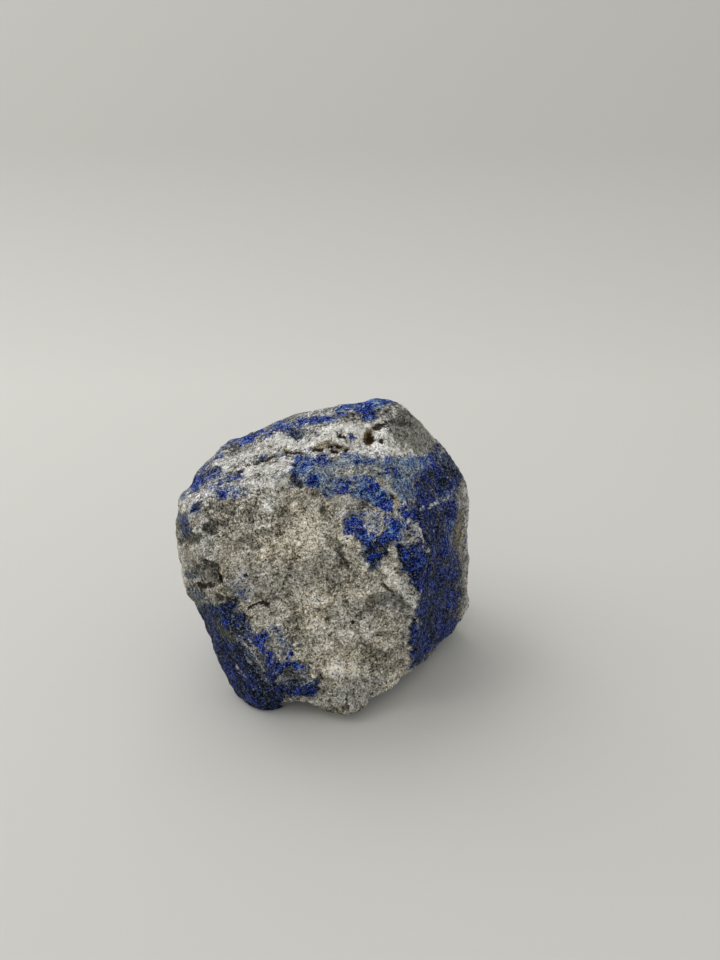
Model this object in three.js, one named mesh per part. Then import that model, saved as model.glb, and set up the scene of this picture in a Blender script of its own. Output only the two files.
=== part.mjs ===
// A rough lump of lapis lazuli, as broken from the vein: one block of blue lazurite and grey calcite.
// Millimetres. +Z is up, -Y is the front, and the origin is under the middle of the stone, on the
// surface it rests on.
import * as THREE from "three";
import { ConvexHull } from "three/addons/math/ConvexHull.js";
import { ImprovedNoise } from "three/addons/math/ImprovedNoise.js";
import { mergeVertices } from "three/addons/utils/BufferGeometryUtils.js";

// ---- Driving dimensions ----

// A point deep inside the stone, from which all of its skin is seen.
const HEART = new THREE.Vector3(-1, -5, 28);

// The corners of the block, before its edges are worn, as [x, y, z].
const CORNERS = {
  // the broad grey front, leaning back, from its foot to its brow
  footTip: [3, -27.5, -2],
  footNub: [-13.5, -25.5, -2],
  nubSide: [-21.5, -19, -0.5],
  footRightFront: [11.5, -24, 3.2],
  footRight: [20.5, -18, 7],
  frontRight: [20, -18.5, 21],
  frontRightHigh: [21.5, -14.5, 34],
  ridgeHigh: [20.5, -10, 42],
  cheekLeft: [-27, -19.5, 36],
  cheekLow: [-18, -24, 21],
  footLedge: [-4, -26.5, 6],
  browLeft: [-29, -12, 47.5],
  browMiddle: [-5, -12, 55.5],
  browRight: [13.5, -7, 53.5],
  // the left side
  leftHigh: [-32.5, -5, 45.5],
  leftMiddle: [-34.5, -3, 35],
  leftLow: [-32.5, -8, 21],
  leftFoot: [-26.5, -13.5, 8],
  leftFootBack: [-23, 3, -3],
  // the crown and the back of the top
  crownLeft: [-24.5, 2, 52.4],
  crownMiddle: [-10, 5, 58.6],
  crown: [9, 7, 62.5],
  crownRight: [16, 8, 62],
  shoulderRight: [27, 12, 47.3],
  backTopLeft: [-19, 18, 45],
  backTopRight: [15, 23, 45],
  // the right side
  rightHigh: [33.5, 10, 39],
  rightMiddle: [34.5, 7, 20],
  rightLow: [34.5, 5, 6.5],
  rightFoot: [27, -2, 1],
  rightBack: [26, 22, 22],
  rightBackFoot: [19, 18, -4],
  // the back
  backLeft: [-30, 13, 30],
  backMiddle: [-3, 27, 24],
  backFoot: [-9, 20, -4],
};

const EDGE_SHARPNESS = 70; // a higher power leaves the edges of the block less worn
const MESH_ROWS = 19; // the skin has 20 * (MESH_ROWS + 1)^2 triangles, each about 2 mm across

// Lows and highs of the skin. Each runs from one point to another, and a negative depth stands proud.
const HOLLOWS = [
  { name: "arch between the feet", from: [-9.5, -27, 0], to: [-1, -27, 0], reach: 6, depth: 3.4 },
  { name: "hollow under the brow", from: [-4, -11.5, 53], to: [9, -9.5, 51.5], reach: 5, depth: 1.2 },
  { name: "swell of the front", from: [-7, -17, 42], to: [7, -22, 18], reach: 16, depth: -0.6 },
  { name: "hollow of the front", from: [2, -15.5, 37], to: [-8, -20, 26], reach: 7, depth: 0.5 },
  { name: "proud block by the ridge", from: [15.5, -15, 34], to: [16, -17.5, 28], reach: 5, depth: -1.1 },
  { name: "furrow beside the block", from: [9, -16, 32], to: [13.5, -17.5, 27], reach: 3, depth: 1 },
  { name: "notch below the block", from: [11, -18, 25.5], to: [16, -18, 25.5], reach: 3.5, depth: 0.8 },
  { name: "crest of the ridge", from: [16, -9.5, 45.5], to: [20, -11.5, 39], reach: 3.5, depth: -0.7 },
  { name: "rib above the right edge", from: [18.5, -18, 24], to: [18.5, -19, 10], reach: 3.5, depth: -0.7 },
  { name: "gutter inside the rib", from: [14.5, -19.5, 21], to: [14, -21, 12], reach: 3.5, depth: 0.5 },
  { name: "lip above the tip", from: [-0.5, -23.5, 13.5], to: [7, -22.5, 12], reach: 3, depth: -0.7 },
  { name: "hollow above the lip", from: [-1, -22.5, 19], to: [6, -22, 17], reach: 4.5, depth: 0.6 },
  { name: "valley of the blue foot", from: [-17.5, -22.5, 22], to: [-15, -24.5, 12.5], reach: 4, depth: 0.9 },
  { name: "crest of the blue foot", from: [-14.5, -23, 21], to: [-9, -24.5, 13.5], reach: 3, depth: -0.5 },
  { name: "crack of the cheek", from: [-28, -15.5, 29.5], to: [-23.5, -19.3, 29.8], reach: 2.2, depth: 1.1 },
  { name: "waist of the right side", from: [33, 6, 33], to: [33, 5, 28], reach: 9, depth: 0.8 },
  { name: "dip of the shoulder", from: [23, 12, 54], to: [24, 3, 50], reach: 7, depth: 1.4 },
  { name: "notch under the left brow", from: [-31, -3, 47], to: [-28, -9, 47.5], reach: 3.5, depth: 1.1 },
  { name: "waist of the left side", from: [-29.5, -10, 17], to: [-28, -13, 13], reach: 6, depth: 0.9 },
  { name: "pit in the crown", from: [9, -2.5, 58], to: [14, 2, 59], reach: 2.6, depth: 1.2 },
  { name: "furrow across the brow", from: [-9, -8, 55], to: [5, -5.5, 57], reach: 3, depth: 0.6 },
  { name: "hollow of the back", from: [-6, 24, 34], to: [8, 25, 20], reach: 13, depth: 2 },
  { name: "swell of the low back", from: [-14, 18, 14], to: [-20, 12, 12], reach: 9, depth: -1 },
];

// Hollows of the underside, between the patches that it stands on.
const BASE_HOLLOWS = [
  { name: "tunnel behind the arch", from: [-6, -17, 0], to: [-8, -7, 0], reach: 8, depth: 1.6 },
  { name: "hollow under the right side", from: [14, -7, 0], to: [21, 5, 0], reach: 7, depth: 1.2 },
  { name: "hollow under the back left", from: [-18, 5, 0], to: [-9, 15, 0], reach: 6, depth: 0.9 },
];

// Steps where a flake has come away. The skin beyond the step, on its low side, is sunk by its depth.
const LEDGES = [
  {
    name: "flake lost from the left cheek",
    at: [-23.5, -19, 35.5], low: [-0.79, 0, -0.6], along: 7, across: 9, depth: 1.4,
  },
  {
    name: "flake lost under the right brow",
    at: [7, -12, 45], low: [-0.1, 0, 1], along: 13, across: 9, depth: 1,
  },
  {
    name: "flake lost behind the right ridge",
    at: [23, -9, 27], low: [1, 0.4, 0.1], along: 15, across: 10, depth: 1,
  },
  {
    name: "flake lost from the back",
    at: [2, 22, 38], low: [0.5, -0.3, 0.8], along: 16, across: 24, depth: 1.6,
  },
  {
    name: "flake lost low on the left of the back",
    at: [-17, 17, 26], low: [-0.8, 0, -0.6], along: 14, across: 22, depth: 1.6,
  },
];

// Small flat scars all over, each tilted a little from the face that it was struck from. The grey front
// breaks more evenly than the blue sides, so its scars are this much fainter.
const FRONT_CALM = 0.85;
const SCARS = { count: 110, seed: 7, reach: [4.5, 12], depth: [0.1, 0.8], tilt: [0.05, 0.24] };

// Lumps of the grain, from the broad to the fine, as widths and heights.
const LUMPS = [
  { width: 15, height: 0.5 },
  { width: 7, height: 0.35 },
  { width: 3.4, height: 0.2 },
];

// ---- Form ----

const vector = (place) => new THREE.Vector3(...place);
const smoothStep = THREE.MathUtils.smoothstep;

// A repeatable stream of numbers from 0 to 1.
function numbersFrom(seed) {
  let state = seed;
  return () => {
    state = (Math.imul(state, 1664525) + 1013904223) >>> 0;
    return state / 2 ** 32;
  };
}

// The flat faces of the block, as outward normals and distances from the heart.
function blockFaces() {
  const points = Object.values(CORNERS).map((corner) => vector(corner).sub(HEART));
  return new ConvexHull().setFromPoints(points).faces.map((face) => ({
    normal: face.normal.clone(),
    distance: face.constant,
  }));
}

// How far the worn block reaches from its heart in a direction.
function blockReach(direction, faces) {
  let sum = 0;
  for (const face of faces) {
    const share = face.normal.dot(direction) / face.distance;
    if (share > 0) sum += share ** EDGE_SHARPNESS;
  }
  return sum ** (-1 / EDGE_SHARPNESS);
}

// The face of the block that a direction leaves through.
function faceToward(direction, faces) {
  const share = (face) => face.normal.dot(direction) / face.distance;
  return faces.reduce((best, face) => (share(face) > share(best) ? face : best));
}

function hollowAt(place, hollows) {
  const nearest = new THREE.Vector3();
  let sunk = 0;
  for (const { from, to, reach, depth } of hollows) {
    new THREE.Line3(vector(from), vector(to)).closestPointToPoint(place, true, nearest);
    const share = Math.min(1, nearest.distanceTo(place) / reach);
    sunk += depth * (1 - share * share) ** 2;
  }
  return sunk;
}

const LEDGE_RISE = 1.6; // the width of a step's slope
function ledgeAt(place) {
  let sunk = 0;
  for (const { at, low, along, across, depth } of LEDGES) {
    const away = place.clone().sub(vector(at));
    const beyond = away.dot(vector(low).normalize());
    const sideways = Math.sqrt(Math.max(0, away.lengthSq() - beyond * beyond));
    const step = smoothStep(beyond, 0, LEDGE_RISE) * (1 - smoothStep(beyond, 0, across));
    sunk += depth * step * (1 - smoothStep(sideways, along * 0.6, along));
  }
  return sunk;
}

// A direction from the heart, with every one as likely as another.
function anyDirection(next) {
  const polar = Math.acos(2 * next() - 1);
  return new THREE.Vector3().setFromSphericalCoords(1, polar, 2 * Math.PI * next());
}

function makeScars(faces) {
  const next = numbersFrom(SCARS.seed);
  const between = ([low, high]) => low + (high - low) * next();
  return Array.from({ length: SCARS.count }, () => {
    const direction = anyDirection(next);
    const face = faceToward(direction, faces);
    const share = 1 - FRONT_CALM * Math.max(0, -face.normal.y);
    const centre = direction.clone().multiplyScalar(blockReach(direction, faces)).add(HEART);
    centre.addScaledVector(face.normal, -share * between(SCARS.depth));
    const lean = anyDirection(next).multiplyScalar(share * Math.tan(between(SCARS.tilt)));
    return { centre, normal: face.normal.clone().add(lean).normalize(), reach: between(SCARS.reach) };
  });
}

// How much of the skin at a place stands above a scar, inside the scar's rim.
function scarAt(place, { centre, normal, reach }) {
  const away = place.clone().sub(centre);
  const above = Math.max(0, away.dot(normal));
  return above * (1 - smoothStep(away.length(), reach * 0.75, reach));
}

const grain = new ImprovedNoise();
function lumpAt(place) {
  return LUMPS.reduce((sum, { width, height }) => {
    const { x, y, z } = place.clone().divideScalar(width);
    return sum + height * grain.noise(x, y, z);
  }, 0);
}

function stoneGeometry() {
  const faces = blockFaces();
  const scars = makeScars(faces);
  const sphere = new THREE.IcosahedronGeometry(1, MESH_ROWS);
  sphere.deleteAttribute("normal");
  sphere.deleteAttribute("uv");
  const geometry = mergeVertices(sphere);
  const skin = geometry.getAttribute("position");
  const direction = new THREE.Vector3();
  const place = new THREE.Vector3();
  for (let i = 0; i < skin.count; i++) {
    direction.fromBufferAttribute(skin, i).normalize();
    let reach = blockReach(direction, faces);
    place.copy(HEART).addScaledVector(direction, reach);
    reach -= hollowAt(place, HOLLOWS) + ledgeAt(place) - lumpAt(place);
    for (const scar of scars) {
      place.copy(HEART).addScaledVector(direction, reach);
      reach -= scarAt(place, scar);
    }
    if (direction.z < 0) {
      reach = Math.min(reach, HEART.z / -direction.z);
      place.copy(HEART).addScaledVector(direction, reach);
      reach -= hollowAt(place, BASE_HOLLOWS);
    }
    skin.setXYZ(i, ...place.copy(HEART).addScaledVector(direction, reach));
  }
  geometry.computeBoundingBox();
  const middle = geometry.boundingBox.getCenter(new THREE.Vector3());
  return geometry.translate(-middle.x, -middle.y, 0);
}

const stone = new THREE.Mesh(
  stoneGeometry(),
  new THREE.MeshStandardMaterial({ color: 0x696b80, roughness: 0.8, metalness: 0 }),
);
stone.name = "lapis_lazuli_stone";

const specimen = new THREE.Group();
specimen.add(stone);
export default specimen;
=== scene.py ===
"""A rough lump of lapis lazuli on a pale sweep: its broken skin, its minerals, and its stage.

Blender's metres throughout, +Z up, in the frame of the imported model. Sizes on the stone are in millimetres
where a name ends in _MM, and its markings are laid out in millimetres on the plane that faces a viewer who
stands in front of the stone and looks down at it.
"""

import math

import bmesh
import bpy
import numpy as np
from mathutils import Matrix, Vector, noise


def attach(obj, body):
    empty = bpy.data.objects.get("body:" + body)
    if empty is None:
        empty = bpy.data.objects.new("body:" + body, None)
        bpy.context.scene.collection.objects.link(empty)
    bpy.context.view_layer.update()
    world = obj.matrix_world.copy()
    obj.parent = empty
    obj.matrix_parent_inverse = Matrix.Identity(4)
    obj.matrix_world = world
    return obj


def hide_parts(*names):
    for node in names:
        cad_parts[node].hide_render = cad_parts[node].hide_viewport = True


bl_info = {
    "name": "Rough lapis lazuli",
    "version": (1, 0, 0),
    "blender": (4, 5, 0),
    "location": "3D View > Sidebar > Lapis",
    "description": "Dresses a broken lump of lapis lazuli with its minerals and relief",
    "category": "Object",
}

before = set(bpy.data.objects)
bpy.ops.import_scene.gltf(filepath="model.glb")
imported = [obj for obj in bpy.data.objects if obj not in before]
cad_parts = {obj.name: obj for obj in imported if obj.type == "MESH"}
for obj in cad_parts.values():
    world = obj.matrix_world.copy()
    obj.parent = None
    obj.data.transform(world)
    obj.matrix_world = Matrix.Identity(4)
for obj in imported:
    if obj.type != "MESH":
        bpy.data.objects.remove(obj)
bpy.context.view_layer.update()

NODE = "lapis_lazuli_stone"
MM = 0.001

# ---- Where the minerals lie ----

# The plane that the markings are laid out on leans back by this much, to face a viewer who looks down.
FACING_TILT = math.radians(34)
TO_VIEWER = Vector((0, -math.cos(FACING_TILT), math.sin(FACING_TILT)))

# The beds of the rock are parallel to the broad grey front. This is the way across them.
ACROSS_BEDS = Vector((0.30, -0.93, 0.20)).normalized()

# Blue lazurite, as a share of the grains, a tone from deep (0) through vivid (0.5) to hazy (1), and an
# outline of [across, up] in millimetres. A later patch covers an earlier one.
BLUE_PATCHES = [
    ("right face", 0.74, 0.22, [
        (24, 46.5), (27, 44.5), (31, 40.5), (33, 36), (34, 28), (35, 18), (34, 9), (30, 2), (24, -1),
        (19, -4), (18.2, -1), (18.2, 8), (19.3, 10.5), (20.4, 14), (20.8, 20), (20.3, 24), (19.5, 27),
        (18.5, 30), (18, 33), (18.2, 37), (19, 40), (21, 43.5), (23.5, 44.5),
    ]),
    ("rim of the right face", 0.28, 0.46, [
        (29.6, 38), (31.5, 40), (34, 34), (35.5, 20), (35, 8), (31, 4.5), (30.2, 8), (31, 13), (31, 19),
        (29.8, 22), (28.9, 26), (28.6, 31),
    ]),
    ("haze high on the right face", 0.66, 0.6, [(23, 38), (28, 38.5), (28.4, 33), (24.6, 32.4)]),
    ("haze low on the right face", 0.66, 0.58, [(26, 29.6), (28.6, 29.4), (28.8, 22), (26.4, 22)]),
    ("slate of the upper corner", 0.5, 0.12, [
        (22.5, 46), (24.5, 45.4), (29, 42.5), (28.5, 40.5), (24.5, 41.6), (23, 43.5),
    ]),
    ("weathered brow", 0.4, 0.86, [
        (-6.6, 36.4), (-6.4, 41), (-4, 42.6), (2, 42.2), (6, 43), (12, 42.6), (17, 43.6), (19, 40), (18, 34),
        (16, 32.4), (14, 31), (10, 32), (8, 33.6), (4, 34.2), (0, 34.6), (-3, 36),
    ]),
    ("weathered upper right", 0.52, 0.82, [
        (13.5, 42.5), (17, 44), (22.5, 43.8), (23.5, 42), (22, 40.5), (20, 39.5), (18.5, 37), (18, 34),
        (15.5, 33.5), (14.2, 36), (13.5, 38.3), (11.5, 40.5),
    ]),
    ("bright patch of the upper right", 0.72, 0.7, [
        (17.5, 41.8), (18.3, 43.3), (22, 43.4), (22.2, 41.6), (19.5, 41),
    ]),
    ("deep patch of the upper right", 0.88, 0.36, [
        (20.2, 34.9), (21.6, 34.9), (22.4, 33.2), (21.2, 32), (20.1, 32.8),
    ]),
    ("patch by the corner", 0.95, 0.36, [(24.2, 41.2), (25.6, 41.4), (26.2, 39.6), (25, 39)]),
    ("dark patch by the corner", 0.95, 0.08, [(24.2, 38.9), (27.6, 38.6), (28, 36.8), (25, 35.8), (24, 37)]),
    ("vivid patch low on the right", 0.97, 0.4, [(27.8, 12.8), (29.8, 12.2), (29.6, 11.2), (28, 11.4)]),
    ("vivid patch at the right foot", 0.97, 0.36, [(26, 5), (28, 5.4), (28.4, 4), (26.6, 3)]),
    ("vivid left edge of the right face", 0.95, 0.4, [
        (18.4, 18), (20.6, 18), (20.8, 14.6), (19.6, 14), (18.6, 15.6),
    ]),
    ("haze of the brow", 0.54, 0.82, [
        (-6.4, 41), (-5, 42.4), (0.5, 42.7), (2, 41.5), (5, 42.7), (8.5, 42.7), (10.5, 41.9), (11, 40.5),
        (8, 40.8), (3.5, 40.6), (1.5, 39.8), (1.4, 38.4), (2.5, 38), (1, 37.2), (-1, 36), (-3.5, 36.2),
        (-5.4, 36.6), (-6.6, 38.4),
    ]),
    ("left end of the brow", 0.5, 0.3, [(-6.4, 38.6), (-5, 38.8), (-4.2, 37.2), (-4.6, 36.1), (-6.1, 36.6)]),
    ("left spot of the brow", 0.66, 0.62, [
        (-6.6, 41.3), (-6.2, 42.4), (-4.8, 42.6), (-3, 42.5), (-3.6, 41.6), (-5.5, 41.2),
    ]),
    ("right spot of the brow", 0.66, 0.58, [
        (-2.3, 41.8), (-1.8, 42.8), (0, 42.8), (0.7, 41.5), (0.9, 40.4), (-0.2, 40.7), (-1, 41.4),
    ]),
    ("bright streak of the brow", 0.85, 0.74, [
        (-5.6, 40.9), (-3.5, 41.2), (-2.2, 40.8), (-3.2, 39.6), (-5.4, 39.8),
    ]),
    ("low spot of the brow", 0.8, 0.56, [(-3, 37.9), (-1.5, 38.1), (-1.1, 36.3), (-2.6, 35.9)]),
    ("grey lens of the brow", 0.2, 0.9, [
        (1.5, 39.8), (3.5, 40.5), (8, 40.8), (11, 40), (11, 38.5), (8, 38.3), (4, 38.3), (1.5, 38.6),
    ]),
    ("navy specks of the brow", 0.66, 0.4, [
        (6, 41.6), (8.8, 41.4), (10.8, 41.9), (10.6, 41), (8, 40.7), (6.2, 40.8),
    ]),
    ("spot by the tan streak", 0.8, 0.4, [
        (12.9, 39.2), (13.2, 40.3), (15.1, 40.2), (15.3, 39.2), (14, 38.9),
    ]),
    ("dot above it", 0.95, 0.42, [(12.5, 42.8), (13.7, 42.7), (13.6, 42.1), (12.6, 42.1)]),
    ("right of the tan streak", 0.6, 0.66, [
        (13.2, 38.2), (15, 38.6), (17.5, 37.5), (18.2, 33.5), (17, 33), (16, 34.6), (14.8, 36.6),
    ]),
    ("band under the brow", 0.72, 0.66, [
        (2.6, 37), (4, 38.1), (8, 38.4), (11.2, 38.4), (11.5, 37.2), (12.3, 35.6), (12.8, 34.4), (10.5, 34.2),
        (9.4, 33.6), (7, 34.2), (4.6, 34.5), (2.4, 35.2),
    ]),
    ("deep end of the band", 0.6, 0.5, [(1.6, 36.3), (3.8, 36.6), (5, 35.4), (4.6, 34.6), (2.2, 34.8)]),
    ("deep middle of the band", 0.84, 0.46, [(9, 37), (11.4, 38), (11.8, 36.4), (10, 35.4)]),
    ("specks under the band", 0.4, 0.6, [(-0.4, 35.2), (2, 35.2), (2.2, 33.6), (0.2, 33.4)]),
    ("lower band", 0.7, 0.56, [
        (8, 33.9), (13.8, 34), (14.4, 32.6), (14.4, 31), (12.4, 30.9), (10.6, 31.4), (9, 31.6), (8, 32.6),
    ]),
    ("spot of the lower band", 0.88, 0.42, [(13.2, 32.3), (14.4, 32.1), (14.5, 31), (13.2, 30.9)]),
    ("speckled middle", 0.44, 0.56, [
        (8.5, 31), (11.5, 31), (13, 30), (13, 28.5), (11.4, 27.4), (10.2, 26), (9.4, 27), (8.4, 28),
    ]),
    ("left bright patch", 0.92, 0.5, [
        (5.6, 30.4), (6.5, 31), (8, 30.6), (8.5, 29.2), (8.2, 27.8), (7.4, 27.5), (5.8, 27.2), (4.5, 27),
        (4, 29), (4.8, 29.7),
    ]),
    ("tail of the left patch", 0.86, 0.48, [
        (5.4, 27.4), (7.6, 27.8), (9.6, 27), (10.3, 25.6), (9.8, 24.1), (8, 24.2), (6.4, 24.9),
    ]),
    ("haze right of the patches", 0.6, 0.76, [
        (15, 30.4), (16.8, 29.8), (17.6, 28), (17.4, 25.2), (15.6, 24.8), (15.4, 27), (15.4, 29),
    ]),
    ("right bright patch", 0.92, 0.5, [
        (11.4, 27.2), (12.8, 28), (13.2, 29.6), (14, 30), (15.5, 29.2), (15.3, 27), (15.6, 25), (14.2, 24.4),
        (13, 23.8), (11.8, 24.2), (10.8, 24.9), (10.5, 26.6),
    ]),
    ("top of the ridge", 0.88, 0.44, [
        (15.8, 32), (17.4, 32.4), (18.8, 31), (19.2, 29.8), (17.4, 30), (16, 30.4),
    ]),
    ("dark tail of the patches", 0.9, 0.14, [
        (8, 23.9), (10, 24.3), (13.5, 23.9), (13.3, 22.2), (12, 21.6), (11.4, 20.4), (10.7, 18.8),
        (9.2, 18.8), (8.5, 20.8),
    ]),
    ("deep patch by the ridge", 0.9, 0.26, [
        (15.5, 23.6), (17, 24.2), (18.2, 23.8), (20.4, 24.2), (21, 21), (21.5, 18), (21.2, 14.5), (20, 14),
        (18.7, 15.8), (17.6, 18.2), (16.3, 19.2), (15.9, 21),
    ]),
    ("bright edge of the deep patch", 0.97, 0.4, [(18.6, 24), (20.3, 24.1), (20.7, 21.6), (19.5, 21.8)]),
    ("speckled ridge", 0.36, 0.5, [
        (17, 29), (19.4, 28.6), (20.6, 25), (20.4, 24), (17.4, 24.2), (16.6, 24.8),
    ]),
    ("foot", 0.84, 0.18, [
        (-33, 13), (-29.2, 11), (-26.6, 10.4), (-24, 10.9), (-22, 11.8), (-19.3, 11.8), (-18.9, 9.8),
        (-17.4, 9), (-17.5, 7.4), (-16.4, 6.4), (-15.8, 4.8), (-17.6, 3.6), (-17.8, 1.6), (-15.8, -0.4),
        (-14.2, -2.6), (-13, -4.4), (-10.6, -5), (-9.6, -6.4), (-8, -6.4), (-5.8, -6), (-3.8, -5),
        (-1.8, -5.1), (-1.2, -7.2), (-2.2, -8.6), (-5, -9.1), (-9, -9.4), (-9.6, -13.5), (-21.5, -12.5),
        (-28, 0),
    ]),
    ("slate hollow of the foot", 0.25, 0.0, [
        (-23.6, 6.9), (-21, 7), (-19.2, 6.5), (-18.3, 4.6), (-20.2, 3.7), (-23, 4.5),
    ]),
    ("bright edge of the foot", 0.98, 0.36, [
        (-18.9, 9.5), (-17.5, 9), (-17.7, 7.5), (-16.3, 6.5), (-15, 5.4), (-14.2, 4.4), (-15.6, 4.5),
        (-17.2, 5.1), (-18.7, 6.7),
    ]),
    ("bright strip", 1.0, 0.5, [
        (-15.3, 5.5), (-13.4, 5.7), (-12.3, 4.9), (-12.3, 3), (-11.8, 1.5), (-11.3, 0.4), (-10.3, -0.2),
        (-9.5, -1.1), (-8.3, -1.1), (-7.8, -2.2), (-9.4, -2.9), (-10, -4.2), (-12, -4.1), (-12.9, -2.8),
        (-12.9, -1), (-13.5, 0.4), (-15, 1.7), (-15.1, 3.5),
    ]),
    ("right end of the strip", 0.95, 0.56, [
        (-8.5, -1.1), (-6, -1.7), (-4.6, -2.2), (-4, -3.4), (-4.9, -4.2), (-6.4, -4), (-7.7, -3),
    ]),
    ("specks beside the strip", 0.4, 0.5, [
        (-12, 6.8), (-8.6, 6.4), (-8.2, 4), (-6.6, 1.6), (-6.6, 0), (-8.2, -0.8), (-9.6, -0.4), (-11, 1),
        (-11.6, 3.2),
    ]),
    ("valley of the foot", 0.58, 0.32, [
        (-18.4, 7), (-15.6, 5.4), (-14.8, 1.6), (-12.8, -2.6), (-10, -4.6), (-12, -5.4), (-15, -3),
        (-18, 1.4), (-18.6, 4),
    ]),
    ("gloom beside the strip", 0.5, 0.3, [
        (-8.8, -2.9), (-7.4, -3.1), (-5, -4.4), (-4.4, -5.6), (-6, -6.1), (-8.8, -6),
    ]),
    ("haze below the strip", 0.65, 0.7, [(-10, -4.8), (-8.5, -4.9), (-8.3, -6.2), (-9.4, -6.2)]),
    ("spot at the foot's edge", 0.96, 0.46, [(-21.9, -4.2), (-20.3, -4.5), (-20.5, -5.5), (-21.6, -5.4)]),
    ("deep bottom", 0.97, 0.16, [
        (-16.5, -5.6), (-12.5, -5.8), (-9.8, -6.6), (-9.2, -9), (-10, -11), (-15.5, -10.6), (-17, -8),
    ]),
    ("haze above the foot", 0.5, 0.72, [
        (-19.5, 14.6), (-18, 15), (-16.3, 14), (-16.1, 12.4), (-18, 12.2), (-19.4, 12.7),
    ]),
    ("mixture by the crack", 0.33, 0.55, [
        (-21.4, 17.6), (-18, 17), (-17.4, 15.4), (-19.6, 15), (-21.2, 15.8),
    ]),
    ("dot by the crack", 0.95, 0.3, [(-17.3, 18.1), (-16.2, 18.1), (-16.1, 17.3), (-17, 17.2)]),
    ("edge of the cheek", 0.5, 0.28, [(-31, 18.2), (-28, 17.8), (-27.4, 16.9), (-30, 16.7)]),
    ("below the crack", 0.5, 0.4, [
        (-30.2, 15), (-27.4, 14), (-26.2, 13.4), (-26.6, 11.6), (-28.2, 11.6), (-30, 12.4),
    ]),
    ("left streaks", 0.84, 0.42, [
        (-30.5, 36), (-28.8, 38), (-27, 39.4), (-24.5, 40.3), (-22.1, 39.9), (-22.3, 38.8), (-24.6, 37.7),
        (-24.4, 36.6), (-27, 35), (-29.8, 34.6),
    ]),
    ("haze of the left edge", 0.62, 0.76, [
        (-28.2, 40), (-25.2, 42.6), (-22.2, 45.4), (-21.4, 46.8), (-19.8, 46.6), (-22.2, 43.6), (-24.6, 41),
        (-26.2, 39.6),
    ]),
    ("hazy streak of the left", 0.74, 0.64, [
        (-24.6, 37.7), (-21, 38.5), (-17.4, 38.7), (-16.4, 38), (-20, 36.9), (-24.2, 36.3),
    ]),
    ("low streaks of the left", 0.42, 0.58, [
        (-26, 36), (-22, 36.7), (-16, 36.5), (-15.4, 34), (-18, 32.9), (-22.6, 34),
    ]),
    ("dark spot of the streaks", 0.96, 0.24, [(-22.5, 35.1), (-20.7, 35.1), (-20.2, 34), (-21.4, 33.6)]),
    ("spot beside it", 0.85, 0.32, [(-18.9, 39.3), (-17.1, 39.3), (-16.9, 38.2), (-18.4, 38.2)]),
    ("streak of the left cheek", 0.62, 0.34, [(-32, 30.9), (-29.2, 30.6), (-28.9, 26.4), (-31.4, 26)]),
    ("spot of the left cheek", 0.66, 0.2, [(-29.2, 30.6), (-26.6, 31), (-25.9, 33.4), (-27.6, 33)]),
    ("specks of the left edge", 0.62, 0.24, [
        (-31, 28.6), (-29.6, 30.2), (-28, 29.4), (-27.8, 26.2), (-30.4, 26),
    ]),
    ("haze of the left corner", 0.45, 0.9, [(-33.5, 33), (-30.6, 35.4), (-29.3, 34.8), (-31, 31.8)]),
    ("thin streak", 0.86, 0.5, [(-10.7, 38.1), (-8, 38.8), (-8.1, 38.3), (-10.4, 37.6)]),
    ("specks of the streaks", 0.35, 0.6, [(-14.6, 38.1), (-12.7, 38.1), (-12.5, 37.1), (-14.4, 37.1)]),
    ("spot in the slits", 0.88, 0.42, [(-14.5, 41.6), (-13, 43.1), (-12.3, 42.8), (-13.2, 41.5)]),
    ("streak in the slits", 0.82, 0.3, [(-10.5, 42.9), (-8, 43.2), (-7.8, 42.6), (-10.2, 42.2)]),
    ("blue edge of the crown", 0.6, 0.6, [
        (-20.4, 45.4), (-17.6, 47.2), (-13.9, 48.9), (-8.9, 51.1), (-3.4, 51.8), (1, 52.4), (1.1, 49.8),
        (-3.3, 49.9), (-6.3, 49), (-9.8, 47.8), (-13.7, 47), (-17.3, 46), (-19.6, 44.4),
    ]),
    ("left edge of the crown", 0.8, 0.56, [(-20.4, 46.1), (-19.7, 47.4), (-15.4, 48), (-15.6, 46.6)]),
    ("left rim of the crown", 0.55, 0.5, [(-15.5, 47.9), (-12, 48.3), (-11.7, 49.3), (-14.7, 49.5)]),
    ("hazy edge of the crown", 0.7, 0.72, [
        (-12, 49.6), (-8.5, 51.3), (-5, 51.6), (-4.7, 50.1), (-7, 49.3), (-8.2, 48.2), (-10, 48.9),
    ]),
    ("edge of the crown", 0.8, 0.56, [
        (-5.6, 50.8), (-2, 51.2), (2, 51.4), (2.2, 50.4), (-1.5, 49.8), (-5.2, 49.5),
    ]),
    ("blue of the crown", 0.78, 0.62, [
        (2, 50.9), (1.8, 52.8), (3.2, 55), (6, 56.2), (9, 57), (12.5, 57.4), (15.8, 56), (15.2, 54.2),
        (12.6, 53.6), (11, 53.4), (11.2, 52.4), (10.2, 51.2), (8.8, 50.7), (7.6, 51), (7, 52.2), (6, 53),
        (5, 52.8), (4.4, 51.1),
    ]),
    ("haze of the crown", 0.88, 0.72, [(10.5, 55), (12.5, 57), (15.4, 56), (14.2, 54.4), (11.6, 54.1)]),
    ("small spot of the crown", 0.9, 0.62, [
        (4.2, 46.2), (4.8, 47.1), (6, 47.3), (6.9, 46.8), (6.4, 46.1), (5.4, 45.8),
    ]),
    ("slate spot of the crown", 0.8, 0.1, [(-8, 48.3), (-5, 48.3), (-4.9, 47.1), (-8, 46)]),
]

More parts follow.
